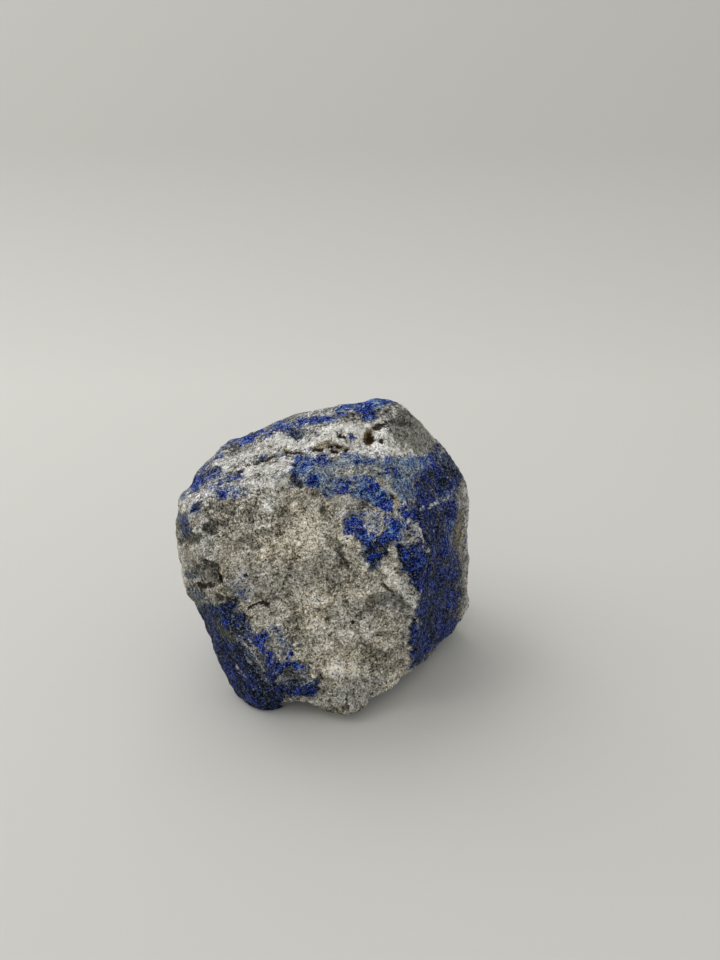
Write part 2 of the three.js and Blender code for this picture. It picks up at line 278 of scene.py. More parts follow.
# Streaks, stains, cracks and hollows, and strokes of painted shade, by what they are of: a share, a half
# width and a line.
STROKES = {"marble": [
    ("band of the crown", 0.95, 1.1, [(-0.5, 47.6), (3, 48.6), (7, 49.2), (11, 50)]),
    ("left of the crown", 0.9, 1.4, [(-10.4, 46.6), (-9.4, 45.8), (-6.6, 45.6)]),
    ("middle of the crown", 0.8, 0.9, [(-12, 46.4), (-8, 46.2), (-3, 45.6), (1, 46.6), (4, 47)]),
    ("right of the pit", 0.95, 1.2, [(11.4, 47.6), (12.2, 46.4), (13.6, 45.4)]),
    ("left of the pit", 1.0, 1.1, [(7.4, 48.8), (7.6, 47.4), (8, 46)]),
    ("top of the crown", 0.7, 0.7, [(11.6, 52.2), (13.4, 53.6), (14.6, 52.6), (14.4, 51.2)]),
    ("pale band of the crown", 0.58, 0.9, [(-6, 44.6), (-1, 46), (6, 44.8), (12, 44.2), (19, 44.2)]),
    ("upper left streaks", 0.6, 1.4, [(-21.8, 41), (-16.2, 44), (-11, 44.6)]),
    ("by the streaks", 0.7, 0.8, [(-22, 41.4), (-20.4, 40.4)]),
    ("lower left streaks", 0.7, 1.4, [(-17, 39.6), (-13, 39.4), (-8.6, 40.6)]),
    ("brow", 0.6, 1.3, [(-15.4, 36.6), (-12, 37), (-8.6, 37.2)]),
    ("vein of the right face", 0.75, 0.45, [
        (22.4, 31.8), (23.2, 32.6), (24.6, 33.4), (26, 33.8), (27.6, 35),
    ]),
    ("root of the vein", 0.7, 0.45, [(20.3, 31.4), (20.8, 32)]),
    ("end of the vein", 0.65, 0.4, [(28.4, 36.4), (28.8, 35)]),
    ("squiggle of the corner", 0.85, 0.2, [(26.8, 40), (27.2, 39), (27.7, 38.5), (27.6, 38)]),
    ("mark of the right face", 0.8, 0.22, [(23.6, 23.6), (23.8, 22.4), (23.9, 21.4)]),
    ("fleck of the right face", 0.8, 0.22, [(23, 27.4), (23.2, 26.8)]),
    ("spots of the rim", 0.35, 0.5, [(28.6, 21.4), (29.4, 20), (29.6, 18.6)]),
    ("crest of the ridge", 0.6, 0.45, [(19.4, 28.6), (20.4, 26), (21, 24.6), (22, 22.6)]),
    ("low crest of the ridge", 0.6, 0.2, [(20.9, 16), (20.5, 14.6), (20.2, 12.6)]),
    ("crystals of the ridge", 0.6, 0.4, [(19.2, 8.4), (20, 7.4), (20.6, 6.6)]),
    ("cream ledge", 0.35, 1.6, [(0.5, -2.6), (3.4, -2.4), (6, -3.6)]),
    ("lip of the arch", 0.4, 0.65, [(-8.6, -9.8), (-3.6, -10.2), (0.4, -11.4)]),
    ("tan streak of the brow", 0.85, 0.75, [(11.8, 37.8), (13, 36.6), (14.2, 35), (15, 33.6), (15.2, 31.4)]),
    ("fleck of the foot", 0.75, 0.35, [(-19.6, -2.6), (-19, -4), (-18.4, -3.6)]),
    ("second fleck of the foot", 0.6, 0.3, [(-18, -4.6), (-17, -4.9)]),
    ("small fleck of the foot", 0.6, 0.3, [(-16.4, -8.6), (-15.6, -7.4)]),
    ("streak of the valley", 0.6, 0.45, [(-18.4, 4.6), (-17.4, 2.8), (-16, 1), (-14.6, -0.6), (-13.6, -3)]),
    ("second streak of the valley", 0.7, 0.45, [(-16.4, 3.8), (-15.6, 2.4), (-15, 0.6)]),
    ("third streak of the valley", 0.6, 0.4, [(-17.4, 0.4), (-16, -1.6), (-15, -3.6)]),
    ("block by the ridge", 0.45, 1.3, [(13.4, 19), (15.6, 15.6)]),
    ("grains above the foot", 0.6, 0.4, [(-23.8, 12), (-22.2, 11.8)]),
    ("foot of the cap", 0.42, 1.0, [(12, 43.6), (16, 43.2), (20, 42.8)]),
], "milky": [
    ("heart of the front", 1.0, 3.2, [(-5.4, 29), (-4.6, 26), (-3, 24)]),
    ("spot over the crack", 0.6, 1.4, [(-12, 9.2), (-9.4, 9.4)]),
    ("spot of the cheek", 0.5, 1.2, [(-21.6, 29.4), (-20.2, 28.4)]),
    ("lower front", 0.4, 2.0, [(-3, 10.4), (1, 8)]),
    ("right front", 0.5, 1.8, [(8, 6.4), (13, 4)]),
    ("ledge", 0.5, 2.2, [(0.8, -2.6), (5.4, -3)]),
    ("middle left", 0.4, 1.8, [(-20, 22.4), (-14.6, 21), (-12.6, 18)]),
    ("block by the ridge", 0.6, 1.2, [(13.8, 18.8), (16, 15.6), (18, 12.4)]),
    ("edge of the crown", 1.0, 2, [(-2, 54), (8, 54.6)]),
    ("upper left front", 0.5, 4, [(-23, 33), (-16, 31), (-8, 30)]),
    ("middle of the front", 0.8, 3.5, [(-1.5, 14), (0.5, 8)]),
    ("top of the front", 0.35, 3, [(-9, 33), (-3, 31), (1, 29)]),
    ("brow", 0.65, 3.5, [(-2, 38), (4, 38.4), (10, 36)]),
    ("crown", 0.12, 3.5, [(-8, 45.6), (2, 46.4), (12, 46)]),
    ("foot of the cap", 1.0, 3.0, [(12, 42.4), (17, 42.6), (24, 44.4)]),
    ("among the patches", 1.0, 4.5, [(7, 26), (16, 28)]),
    ("below the patches", 0.6, 2.5, [(7, 21.5), (10, 22)]),
    ("left edge of the foot", 1.0, 1.5, [(-25.5, 3), (-24.5, -3)]),
    ("right foot of the front", 0.6, 2.2, [(-4, 6.4), (4, 6.4), (11, 6)]),
    ("left front", 0.6, 2.0, [(-21, 26.5), (-8, 22.5)]),
    ("rim of the right face", 0.9, 1.6, [(33.4, 38), (34, 24)]),
], "rust": [
    ("left slits", 0.55, 0.8, [(-17, 40.6), (-14, 41.4), (-10, 42.3)]),
    ("slit above the brow", 0.6, 0.8, [(-8.4, 43.3), (-5, 43.3)]),
    ("brow", 0.58, 0.9, [(-2.4, 44.5), (1.2, 44.8), (4.6, 44)]),
    ("second stain of the brow", 0.55, 0.6, [(0.6, 43.8), (2.6, 43.4), (1.8, 41.4)]),
    ("streak", 0.55, 0.9, [(11.4, 38.6), (13, 36.6), (15, 33.6), (15.4, 31.4)]),
    ("right edge", 0.58, 1.4, [(29.6, 31), (29.8, 24)]),
    ("low brown of the right edge", 0.5, 1.0, [(30.8, 20), (30.6, 12), (30.2, 7)]),
    ("cheek", 0.45, 0.5, [(-25.6, 14), (-24.2, 13.6)]),
    ("tan of the cheek", 0.3, 1.0, [(-27, 13.4), (-20.8, 14)]),
    ("ochre by the crack", 0.5, 0.45, [(-17.4, 10.4), (-16.8, 9.8)]),
    ("ridge", 0.5, 0.6, [(18.6, 27.6), (17.9, 25.8), (18.2, 24.6)]),
    ("tip", 0.4, 1.2, [(-1.4, -7.4), (1.6, -5.8)]),
    ("lower front", 0.34, 3.2, [(1, -12), (8, -7), (12, 0)]),
    ("floor of the pit", 1.0, 1.3, [(9.1, 46.5), (9.4, 47)]),
    ("floor of the pocket", 0.8, 0.6, [(11, 49), (12, 49.7)]),
    ("cap", 0.35, 0.6, [(20.4, 49.8), (21.4, 48.4)]),
    ("specks", 0.5, 0.7, [(2.6, 47), (3.8, 46.6)]),
], "slate": [
    ("foot", 0.75, 1.2, [(-22.6, 6), (-19.6, 5)]),
    ("band above the foot", 0.5, 0.5, [(-23.6, 12.8), (-21, 12.2), (-18.6, 12.6)]),
    ("streak of the tip", 0.8, 0.7, [(4.4, -8.4), (4, -12.6)]),
    ("front", 0.55, 0.5, [(2.8, 22.8), (3.2, 21.8)]),
    ("long slate of the front", 0.6, 0.6, [(3.8, 20.9), (4.6, 19.8), (5.6, 18.8)]),
    ("below the patches", 0.5, 0.8, [(9, 18.6), (10.6, 18.4)]),
    ("in the dark tail", 0.6, 0.6, [(10.4, 23), (12.2, 22.8)]),
    ("lens of the brow", 0.5, 0.7, [(2.4, 39.4), (6, 39.6), (10, 39.3)]),
    ("crown", 0.5, 0.6, [(5, 51.8), (6.2, 50.8)]),
    # Painted shadow at the top left of the cap.
    ("shade of the cap", 0.5, 1.0, [(14.6, 50.4), (17.6, 50.4), (20.6, 48.6)]),
    ("band of the crown", 0.35, 0.6, [(-1, 49.4), (2.4, 50), (5.6, 50.2)]),
    ("right of the spot", 0.6, 0.5, [(-3, 47.6), (-1.4, 46.8)]),
    ("left of the strip", 0.6, 0.45, [(-9.5, 1), (-8.8, 0.5)]),
    ("spot of the valley", 0.8, 0.45, [(-7.5, 3.5), (-7, 3.1)]),
    ("spot beside it", 0.8, 0.5, [(-5.8, 2.3), (-5.1, 2.1)]),
    ("spot below", 0.7, 0.4, [(-3.3, -1.5), (-2.7, -1.8)]),
    ("edge", 0.4, 0.4, [(6.6, -5.4), (6.8, -6)]),
], "cap": [
    ("grey rim of the crown", 0.8, 1.0, [(-18.4, 49.2), (-12, 51.5), (-6, 53), (0.4, 53.8)]),
], "crack": [
    # Cracks sink the skin; their dark colour is partly painted shade.
    ("upper crack of the cheek", 0.8, 0.25, [(-29, 15.9), (-27.6, 15.7), (-26.8, 15.3)]),
    ("crack of the cheek", 1.0, 0.62, [(-27, 15.3), (-26.2, 15.1), (-25.2, 15.2), (-23.9, 15.4)]),
    ("corner of the block", 1.0, 0.5, [(-22.2, 17.4), (-21.9, 16.7), (-21.5, 16.4)]),
    ("edge of the block", 0.5, 0.3, [(-24, 20.4), (-22.6, 19.4), (-22, 18)]),
    ("crack above the foot", 1.0, 0.38, [(-16.2, 10.7), (-15.2, 11), (-14.9, 11.2)]),
    ("right end of it", 1.0, 0.46, [(-13, 11.8), (-12.3, 11.5), (-12, 11.1)]),
    ("middle of the crack", 0.85, 0.32, [(-14.9, 11.2), (-13.8, 11.7), (-13, 11.8)]),
    ("hairline beyond it", 0.3, 0.2, [(-10.4, 12.5), (-8.8, 13), (-6.4, 13.4)]),
    ("slit above the brow", 1.0, 0.3, [(-8.2, 43.4), (-6.8, 43), (-5, 43.3)]),
    ("left slit in the brow", 0.95, 0.32, [(-13.8, 41.6), (-12.4, 41.8), (-11.6, 42.2), (-10.6, 42.6)]),
    ("middle left slit", 0.8, 0.25, [(-16.6, 40.6), (-15.4, 41), (-14.4, 41.1)]),
    ("far left slit", 0.85, 0.3, [(-19.5, 38.6), (-18.4, 39.4), (-17, 39.8)]),
    ("small slit", 0.8, 0.3, [(-6.8, 40.6), (-5.8, 40.2)]),
    ("left slit of the stain", 1.0, 0.36, [(-2.6, 43.9), (-0.5, 43.9)]),
    ("right slit of the stain", 0.95, 0.34, [(1.4, 44.6), (3.3, 44.8)]),
    ("end slit of the stain", 0.9, 0.3, [(4, 43.6), (5, 43.9)]),
    ("slit below the stain", 0.95, 0.36, [(1.6, 43.5), (2.4, 43.5)]),
    ("specks of the crown", 0.9, 0.3, [(2.8, 47.5), (3.2, 46.9), (3.9, 46.4)]),
    ("speck beside the pit", 0.85, 0.3, [(11.4, 46.1), (12.4, 45.9)]),
    ("notch of the brow", 0.7, 0.22, [(1.5, 42.6), (1.6, 41)]),
    # Painted shade under the rim of the brow.
    ("rim under the brow", 0.5, 0.2, [(-4.4, 36), (-3.4, 35), (-2.4, 34.6)]),
    ("curl under the brow", 0.45, 0.2, [(-1.2, 34), (0.2, 33.6), (1.4, 34), (1.8, 34.8)]),
    ("brown edge of the tan streak", 0.6, 0.25, [(13.8, 34.6), (15, 33.5), (16.4, 32.8)]),
    ("top of the tan streak", 0.6, 0.3, [(11.2, 39.4), (12, 38.6), (13, 38.3)]),
    ("groove of the front", 0.35, 0.3, [(3.4, 21.2), (4.4, 20), (5.6, 18.8)]),
    ("groove by the block", 0.6, 0.35, [(12.2, 15.4), (13.2, 14.4), (14.6, 13.3)]),
    ("pocket beside the pit", 0.8, 0.85, [(10.8, 48.5), (11.6, 49.1), (12.5, 49.6)]),
    ("heart of the pit", 0.75, 0.45, [(9.4, 46.1), (9.6, 46.6)]),
    ("pocket by the cap", 0.8, 0.35, [(13, 50.4), (13.4, 49.6)]),
    ("streak into the cap", 0.45, 0.3, [(13.8, 50.9), (15.4, 50.7)]),
    ("brown spot of the top", 0.7, 0.3, [(13, 52.7), (13.8, 52.5)]),
    ("second brown spot of the top", 0.6, 0.25, [(14.6, 52.4), (15, 52)]),
    ("seam of the tip", 0.5, 0.25, [(-1.4, -2), (-1.9, -3.6), (-0.6, -5), (0.6, -5.4)]),
    ("seam above the lip", 0.3, 0.2, [(-0.7, -1.3), (1.2, -0.7), (2.4, -0.4), (3.6, 0.1)]),
    ("shade of the middle left", 0.4, 0.3, [(-6.8, 34.6), (-6.9, 32)]),
], "hollow": [
    # Each hollow is sunk into the skin, and the material darkens it with painted shade.
    ("cheek", 0.8, 0.9, [(-24.4, 27.6), (-23.4, 26.6)]),
    ("second hollow of the cheek", 0.5, 0.5, [(-24, 29.2), (-22.8, 28.7)]),
    ("third hollow of the cheek", 0.5, 0.6, [(-21, 31.6), (-19.6, 30.4)]),
    ("left edge", 0.75, 1.0, [(-32, 25), (-28.4, 24.7), (-26, 25.6)]),
    ("shade of the block", 1.0, 1.1, [(-25.4, 20.6), (-23.2, 18.8), (-22.6, 17.2)]),
    ("low side of the block", 0.6, 1.5, [(-27.4, 18.6), (-24.4, 17)]),
    ("middle left", 0.6, 0.9, [(-17.6, 25), (-14, 24.4)]),
    ("over the crack", 0.45, 0.8, [(-14.4, 12.6), (-11, 12.5), (-8, 13.4)]),
    ("above the foot", 0.6, 0.6, [(-23.4, 12.8), (-19, 12.5)]),
    ("front", 0.6, 0.8, [(3, 22.8), (3.6, 21.2), (5.4, 19.2)]),
    ("wide hollow of the right front", 0.55, 1.4, [(10.6, 12.6), (14.4, 12.6), (16.4, 10.8)]),
    ("beside the block", 0.6, 0.5, [(12, 15.6), (13.6, 14.2), (15, 13)]),
    ("small hollow of the front", 0.4, 0.6, [(0.4, 17), (2, 15.4)]),
    ("brow", 0.8, 0.7, [(-5.8, 38), (-4.8, 36.6)]),
    ("low hollow of the front", 0.35, 1.2, [(7.6, 2.6), (10, 0.6), (14, 0.2)]),
    ("tip", 0.4, 0.6, [(-1.8, -2.6), (-1.6, -4.4), (0.6, -5.8)]),
    ("below the strip", 0.3, 0.9, [(-8.6, -3.6), (-5, -5.2)]),
    ("left front", 0.35, 0.8, [(-10, 30.6), (-7.4, 33.4)]),
    # Painted shadow at the top left of the cap.
    ("cap", 0.5, 0.8, [(14.4, 50.6), (17.6, 50)]),
], "grime": [
    # Painted shade where the stone turns from the light or lies under the brow, a rim or the overhanging tip,
    # and a darker tone in places: these strokes only darken the colour.
    ("left cheek", 0.65, 5, [(-31, 26), (-27, 20), (-22, 17)]),
    ("above the foot", 0.6, 3.5, [(-28, 13), (-22, 14), (-15, 14.5)]),
    ("right front", 0.58, 4.5, [(11, 10), (17, 7), (15, 0)]),
    ("tip", 0.5, 3.5, [(1, -9), (5, -12), (9, -8)]),
    ("shade of the tip", 0.8, 3, [(0, -14), (5, -14), (10, -10)]),
    ("low rim", 0.6, 2.6, [(31, 20), (30, 12), (28, 8)]),
    ("under the cheek", 0.45, 2.4, [(-32, 22.5), (-26, 22.5), (-16, 22)]),
    ("middle", 0.56, 2.8, [(-16, 17), (-4, 17.5), (1, 18.5), (1, 22)]),
    ("over the crack", 0.55, 2.2, [(-17, 14.4), (-12, 10.4)]),
    ("beside the right ridge", 0.66, 2.8, [(12, 10.5), (20, 9), (17, 2)]),
    ("right face", 0.6, 6, [(25, 34), (26, 22), (24, 8)]),
    ("upper left", 0.25, 2.6, [(-24, 42.4), (-16, 43), (-12, 42)]),
    ("lip", 0.4, 2.5, [(-8, -8), (-2, -8)]),
    ("right rim", 0.5, 2.2, [(28, 35), (30, 27), (30, 15)]),
    ("crown", 0.3, 2.4, [(-9, 46), (-3, 47)]),
    ("foot", 0.85, 5.5, [(-26, 6), (-18, -4), (-12, -8)]),
    ("shade under the brow", 0.35, 2.6, [(-9, 34.6), (-3, 34.6), (5, 33), (5, 30)]),
    ("shade over the ledge", 0.4, 1.6, [(3, 2.4), (5, 1.8)]),
]}

# Round pits: across, up, radius and depth, in millimetres.
PITS = [
    (9.2, 46.7, 1.3, 0.62), (2.5, 47.8, 0.35, 0.7), (3.6, 47.7, 0.35, 0.6), (2.9, 46.6, 0.4, 0.6),
    (12, 46.2, 0.4, 0.7), (11.6, 47.2, 0.25, 0.6), (14, 44.9, 0.25, 0.5), (14.2, 42.4, 0.25, 0.5),
    (11.3, 42.4, 0.25, 0.4), (5.9, 51.5, 0.3, 0.5), (2.3, 50.2, 0.25, 0.4), (7.2, 27.2, 0.4, 0.5),
    (5.8, 7.2, 0.45, 0.9), (4.4, 11.9, 0.35, 0.6), (3.8, 13.1, 0.25, 0.5), (0.5, 16.4, 0.35, 0.6),
    (2.6, 9.3, 0.3, 0.5), (0.3, 8.4, 0.3, 0.5), (17.9, 25.8, 0.4, 0.7), (17.6, 27.6, 0.4, 0.6),
    (-16.6, 8.7, 0.35, 0.6), (-10.7, 6.1, 0.3, 0.5), (-10.2, 26.6, 0.35, 0.3), (-24, 27, 0.5, 0.5),
    (22, 26.3, 0.3, 0.6), (2.3, -12.4, 0.35, 0.5), (-18.8, 33.4, 0.35, 0.6),
]

# Where the outline swells: across, up, radius and rise, in millimetres.
SWELLS = [
    (11.5, 56, 4.5, 0.9),
    (21.5, 49.5, 5, 0.7),
    (34, 18, 5, 0.6),
    (34, 3, 8, 0.5),
    (-29.5, 10, 3, 0.4),
    (-33, 29, 5, 0.3),
]

# The lower edge of the front overhangs. Millimetres: place across the stone, how far the edge stands
# off what the stone stands on, and how far it comes forward.
OVERHANG = [
    (-10.5, 0, 0), (-8, 2.8, 1.8), (-1, 3.0, 1.4), (1.6, 1.9, 1.4), (6.5, 1.9, 1.4), (11, 2.6, 2.2),
    (17, 2.6, 2.2), (22, 0, 0),
]
OVERHANG_TOP_MM = 6.5  # how high up the front it is felt
OVERHANG_BACK_MM = (-14, -8)  # between these the underside comes down to the ground

# The dull worn cap beside the crown.
CAP_OUTLINE = [
    (13, 50.2), (15, 52), (17, 53.5), (19, 52.5), (21.5, 49.8), (23.6, 47.4), (24, 45.2), (22.5, 44.3),
    (19, 44.6), (16.5, 45.6), (14.5, 46.8), (13.4, 48.4),
]

PATCH_EDGE_MM = 1.2  # how far a patch takes to fade
SPOT_EDGE_MM = 0.5  # how far a small one takes
SPOT_MM = 2.2  # a patch that is narrower than this is a spot
RAGGED_MM = 1.0  # how far a patch's edge wanders
RAGGED_SIZE_MM = 3.0  # the size of its bays
FRAYED_MM = 0.8  # how far the small bays of an edge wander
FRAYED_SIZE_MM = 1.2
THIN_MM = 0.6  # half the width of a line that keeps to its course
SLIM_MM = 0.8  # half the width of a stroke that breaks up
BREAK_MM = 1.2  # how long its parts are
PLUMP_MM = 0.25  # how far the whole skin stands out from the smoothed solid
FLOW_MM = 4.0  # the size of the bends that run through the rock
SKIN_BEND_MM = 3.0  # how far its lumps and beds are bent
COLOUR_BEND_MM = 2.0  # how far its streaks are bent
GRAIN_MM = 0.8  # a sugary grain of calcite
FINE_GRAIN_MM = 0.36
LAYERS = (
    "lazurite", "tone", "marble", "milky", "rust", "slate", "crack", "hollow", "pit", "cap", "grime",
    "swell", "topside",
)


def linear(value):
    """The linear colour of an sRGB hex value."""
    parts = [((value >> shift) & 255) / 255 for shift in (16, 8, 0)]
    return tuple(c / 12.92 if c <= 0.04045 else ((c + 0.055) / 1.055) ** 2.4 for c in parts)


def add(tree, kind, sockets=(), stops=(), **settings):
    """Adds a node. Its sockets, in order or by name, take values, other sockets or a node's first result."""
    node = tree.nodes.new(kind)
    for name, value in settings.items():
        setattr(node, name, value)
    for key, value in sockets.items() if isinstance(sockets, dict) else enumerate(sockets):
        named = [s for s in node.inputs if s.enabled and s.name == key]
        socket = named[0] if named else node.inputs[key]
        if isinstance(value, bpy.types.Node):
            value = next(s for s in value.outputs if s.enabled)
        if isinstance(value, bpy.types.NodeSocket):
            tree.links.new(value, socket)
        elif socket.type == "RGBA":
            socket.default_value = (*value, 1)
        else:
            socket.default_value = value
    for place, _ in stops[1:-1]:
        node.color_ramp.elements.new(place)
    for stop, (place, shade) in zip(node.color_ramp.elements if stops else (), stops):
        stop.position = place
        stop.color = (*shade, 1)
    return node


def stray(tree, start, *patterns):
    """A value that strays from its start by several patterns, each of which varies about a half."""
    value = start
    for pattern, amount in patterns:
        middle = add(tree, "ShaderNodeMath", [pattern, 0.5], operation="SUBTRACT")
        value = add(tree, "ShaderNodeMath", [middle, amount, value], operation="MULTIPLY_ADD")
    return value


def flowed(tree, place, size, reach):
    """Places bent over a size by up to about half a reach, and the same turned so that Z crosses the beds."""
    bend = add(tree, "ShaderNodeTexNoise", {"Vector": place, "Scale": 1 / size, "Detail": 1.0})
    bent = add(
        tree, "ShaderNodeVectorMath",
        [bend.outputs["Color"], (reach, reach, reach), place], operation="MULTIPLY_ADD",
    )
    turn = ACROSS_BEDS.to_track_quat("Z", "Y").inverted().to_euler()
    turned = add(
        tree, "ShaderNodeVectorRotate", {"Vector": bent, "Rotation": turn}, rotation_type="EULER_XYZ"
    )
    return bent, turned


# ---- Settings ----


def length(name, description, default):
    return bpy.props.FloatProperty(name=name, description=description, default=default, subtype="DISTANCE")


def colour(name, description, value):
    return bpy.props.FloatVectorProperty(
        name=name, description=description, default=linear(value), subtype="COLOR", min=0, max=1
    )


class LapisSizes(bpy.types.PropertyGroup):
    """Sizes of the stone's relief."""

    lump: length("Lump", "Width of a lump", 7 * MM)
    lump_height: length("Lump height", "How far lumps stand up", 3.2 * MM)
    facet: length("Facet", "Width of a cleaved facet", 2.2 * MM)
    facet_height: length("Facet height", "How deep the angles between facets are", 0.6 * MM)
    bed: length("Bed", "Spacing of the beds that run through the rock", 1.3 * MM)
    bed_height: length("Bed height", "How far the edges of the beds stand up", 0.7 * MM)
    hollow_depth: length("Hollow depth", "Depth of the deepest hollow", 1.1 * MM)
    crack_depth: length("Crack depth", "Depth of the deepest crack", 0.7 * MM)


# Each size is an input of the relief, under the same name.
RELIEF_INPUTS = {name.replace("_", " ").capitalize(): name for name in LapisSizes.__annotations__}


class LapisColours(bpy.types.PropertyGroup):
    """Colours of the minerals."""

    night: colour("Night", "Lazurite at its darkest", 0x0E1C38)
    navy: colour("Navy", "Deep lazurite", 0x162B58)
    vivid: colour("Vivid", "Fresh lazurite", 0x0A32A6)
    cobalt: colour("Cobalt", "Bright lazurite", 0x3863A8)
    hazy: colour("Hazy", "Rubbed lazurite", 0x627FA4)
    pale_haze: colour("Pale haze", "Lazurite under a bloom", 0x90A8C4)
    soot: colour("Soot", "Grey at its darkest among the blue", 0x2A303E)
    graphite: colour("Graphite", "Dark grey among the blue", 0x4A5463)
    pewter: colour("Pewter", "Light grey among the blue", 0x838E9F)
    mist: colour("Mist", "Bluish grey at its darkest in the hazy blue", 0x54687E)
    pale_mist: colour("Pale mist", "Bluish grey in the hazy blue", 0x9DACBD)
    web: colour("Web", "Pale web among the blue", 0xC4C8C5)
    smoky: colour("Smoky", "Calcite at its darkest", 0x504D44)
    drab: colour("Drab", "Dark grey-beige calcite", 0x959082)
    oatmeal: colour("Oatmeal", "Grey-beige calcite", 0xC7C1B1)
    cream: colour("Cream", "Light calcite", 0xECE7D8)
    milk: colour("Milk", "Calcite at its lightest", 0xFDFAF3)
    marble: colour("Marble", "White streaks and veins", 0xF8F6EF)
    rust: colour("Rust", "Limonite stains", 0x8C7A48)
    slate: colour("Slate", "Dark grey spots", 0x55584F)
    # The dark bottoms of cracks and pits: their filling, and painted shade.
    crack: colour("Crack", "Bottoms of cracks and pits", 0x2E2012)
    pit_floor: colour("Pit floor", "Rusty brown in the pits", 0x704416)
    cap: colour("Cap", "The dull worn cap", 0x84837C)
    # The fleck colours are those of bright grains and of the painted glints among them.
    fleck: colour("Fleck", "Bright grains", 0xF4F5F0)
    blue_fleck: colour("Fleck in blue", "Bright grains among the blue", 0xB4BDC8)


class LapisStage(bpy.types.PropertyGroup):
    """The pale sweep and its light."""

    paper: colour("Paper", "Colour of the sweep", 0xE1E0DB)
    window_power: bpy.props.FloatProperty(
        name="Window", description="Power of the light behind the stone", default=3.2, unit="POWER"
    )
    side_power: bpy.props.FloatProperty(
        name="Side", description="Power of the light at the left", default=2.6, unit="POWER"
    )
    sky: bpy.props.FloatProperty(name="Sky", description="Strength of the light from all round", default=0.45)


# ---- Layout of the minerals on the skin ----


def distances(spots, line, closed=False):
    """Each spot's distance to a line through points."""
    ends = line[1:] + (line[:1] if closed else [])
    nearest = np.full(len(spots), np.inf)
    for start, end in zip(line, ends):
        start, along = np.array(start), np.subtract(end, start)
        away = spots - start
        share = np.clip(away @ along / max(along @ along, 1e-9), 0, 1)
        nearest = np.minimum(nearest, np.linalg.norm(away - share[:, None] * along, axis=1))
    return nearest


def depth_inside(spots, outline):
    """Each spot's distance to an outline, positive inside it."""
    inside = np.zeros(len(spots), bool)
    for (x0, y0), (x1, y1) in zip(outline, outline[1:] + outline[:1]):
        crosses = (spots[:, 1] > y0) != (spots[:, 1] > y1)
        level = (spots[:, 1] - y0) / ((y1 - y0) or 1)
        inside ^= crosses & (spots[:, 0] < x0 + level * (x1 - x0))
    return np.where(inside, 1, -1) * distances(spots, outline, closed=True)


def soft_step(values, low, high):
    """A smooth step from 0 at low to 1 at high, where either may be the larger."""
    share = np.clip((values - low) / (high - low), 0, 1)
    return share * share * (3 - 2 * share)


def noise_at(points, size, seed=0):
    """Smooth noise from -1 to 1 at points, in lumps of a size."""
    shift = Vector((17.1, 5.3, 9.7)) * (seed + 1)
    return np.array([noise.noise(Vector(p) / size + shift) for p in points])


def hidden_layers(points):
    """Minerals of the skin that faces away from the viewer: they follow the beds."""
    beds = points @ np.array(ACROSS_BEDS)
    warp = noise_at(points, 14, 2) * 6
    bands = 0.5 + 0.5 * np.sin((beds + warp) / 3.4)
    blotches = noise_at(points, 11, 3)
    return {
        "lazurite": np.clip(0.62 + 0.5 * blotches - 0.3 * bands, 0.05, 0.95),
        "tone": np.clip(0.32 + 0.4 * noise_at(points, 9, 4), 0, 1),
        "marble": soft_step(bands + 0.4 * noise_at(points, 5, 5), 0.95, 1.25) * 0.8,
        "rust": soft_step(noise_at(points, 6, 6), 0.42, 0.62) * 0.4,
        "slate": soft_step(noise_at(points, 5, 7), 0.4, 0.6) * 0.5,
        "hollow": soft_step(noise_at(points, 6, 10), 0.3, 0.6) * 0.5,
        "milky": soft_step(noise_at(points, 8, 11), 0.2, 0.6) * 0.5,
    }


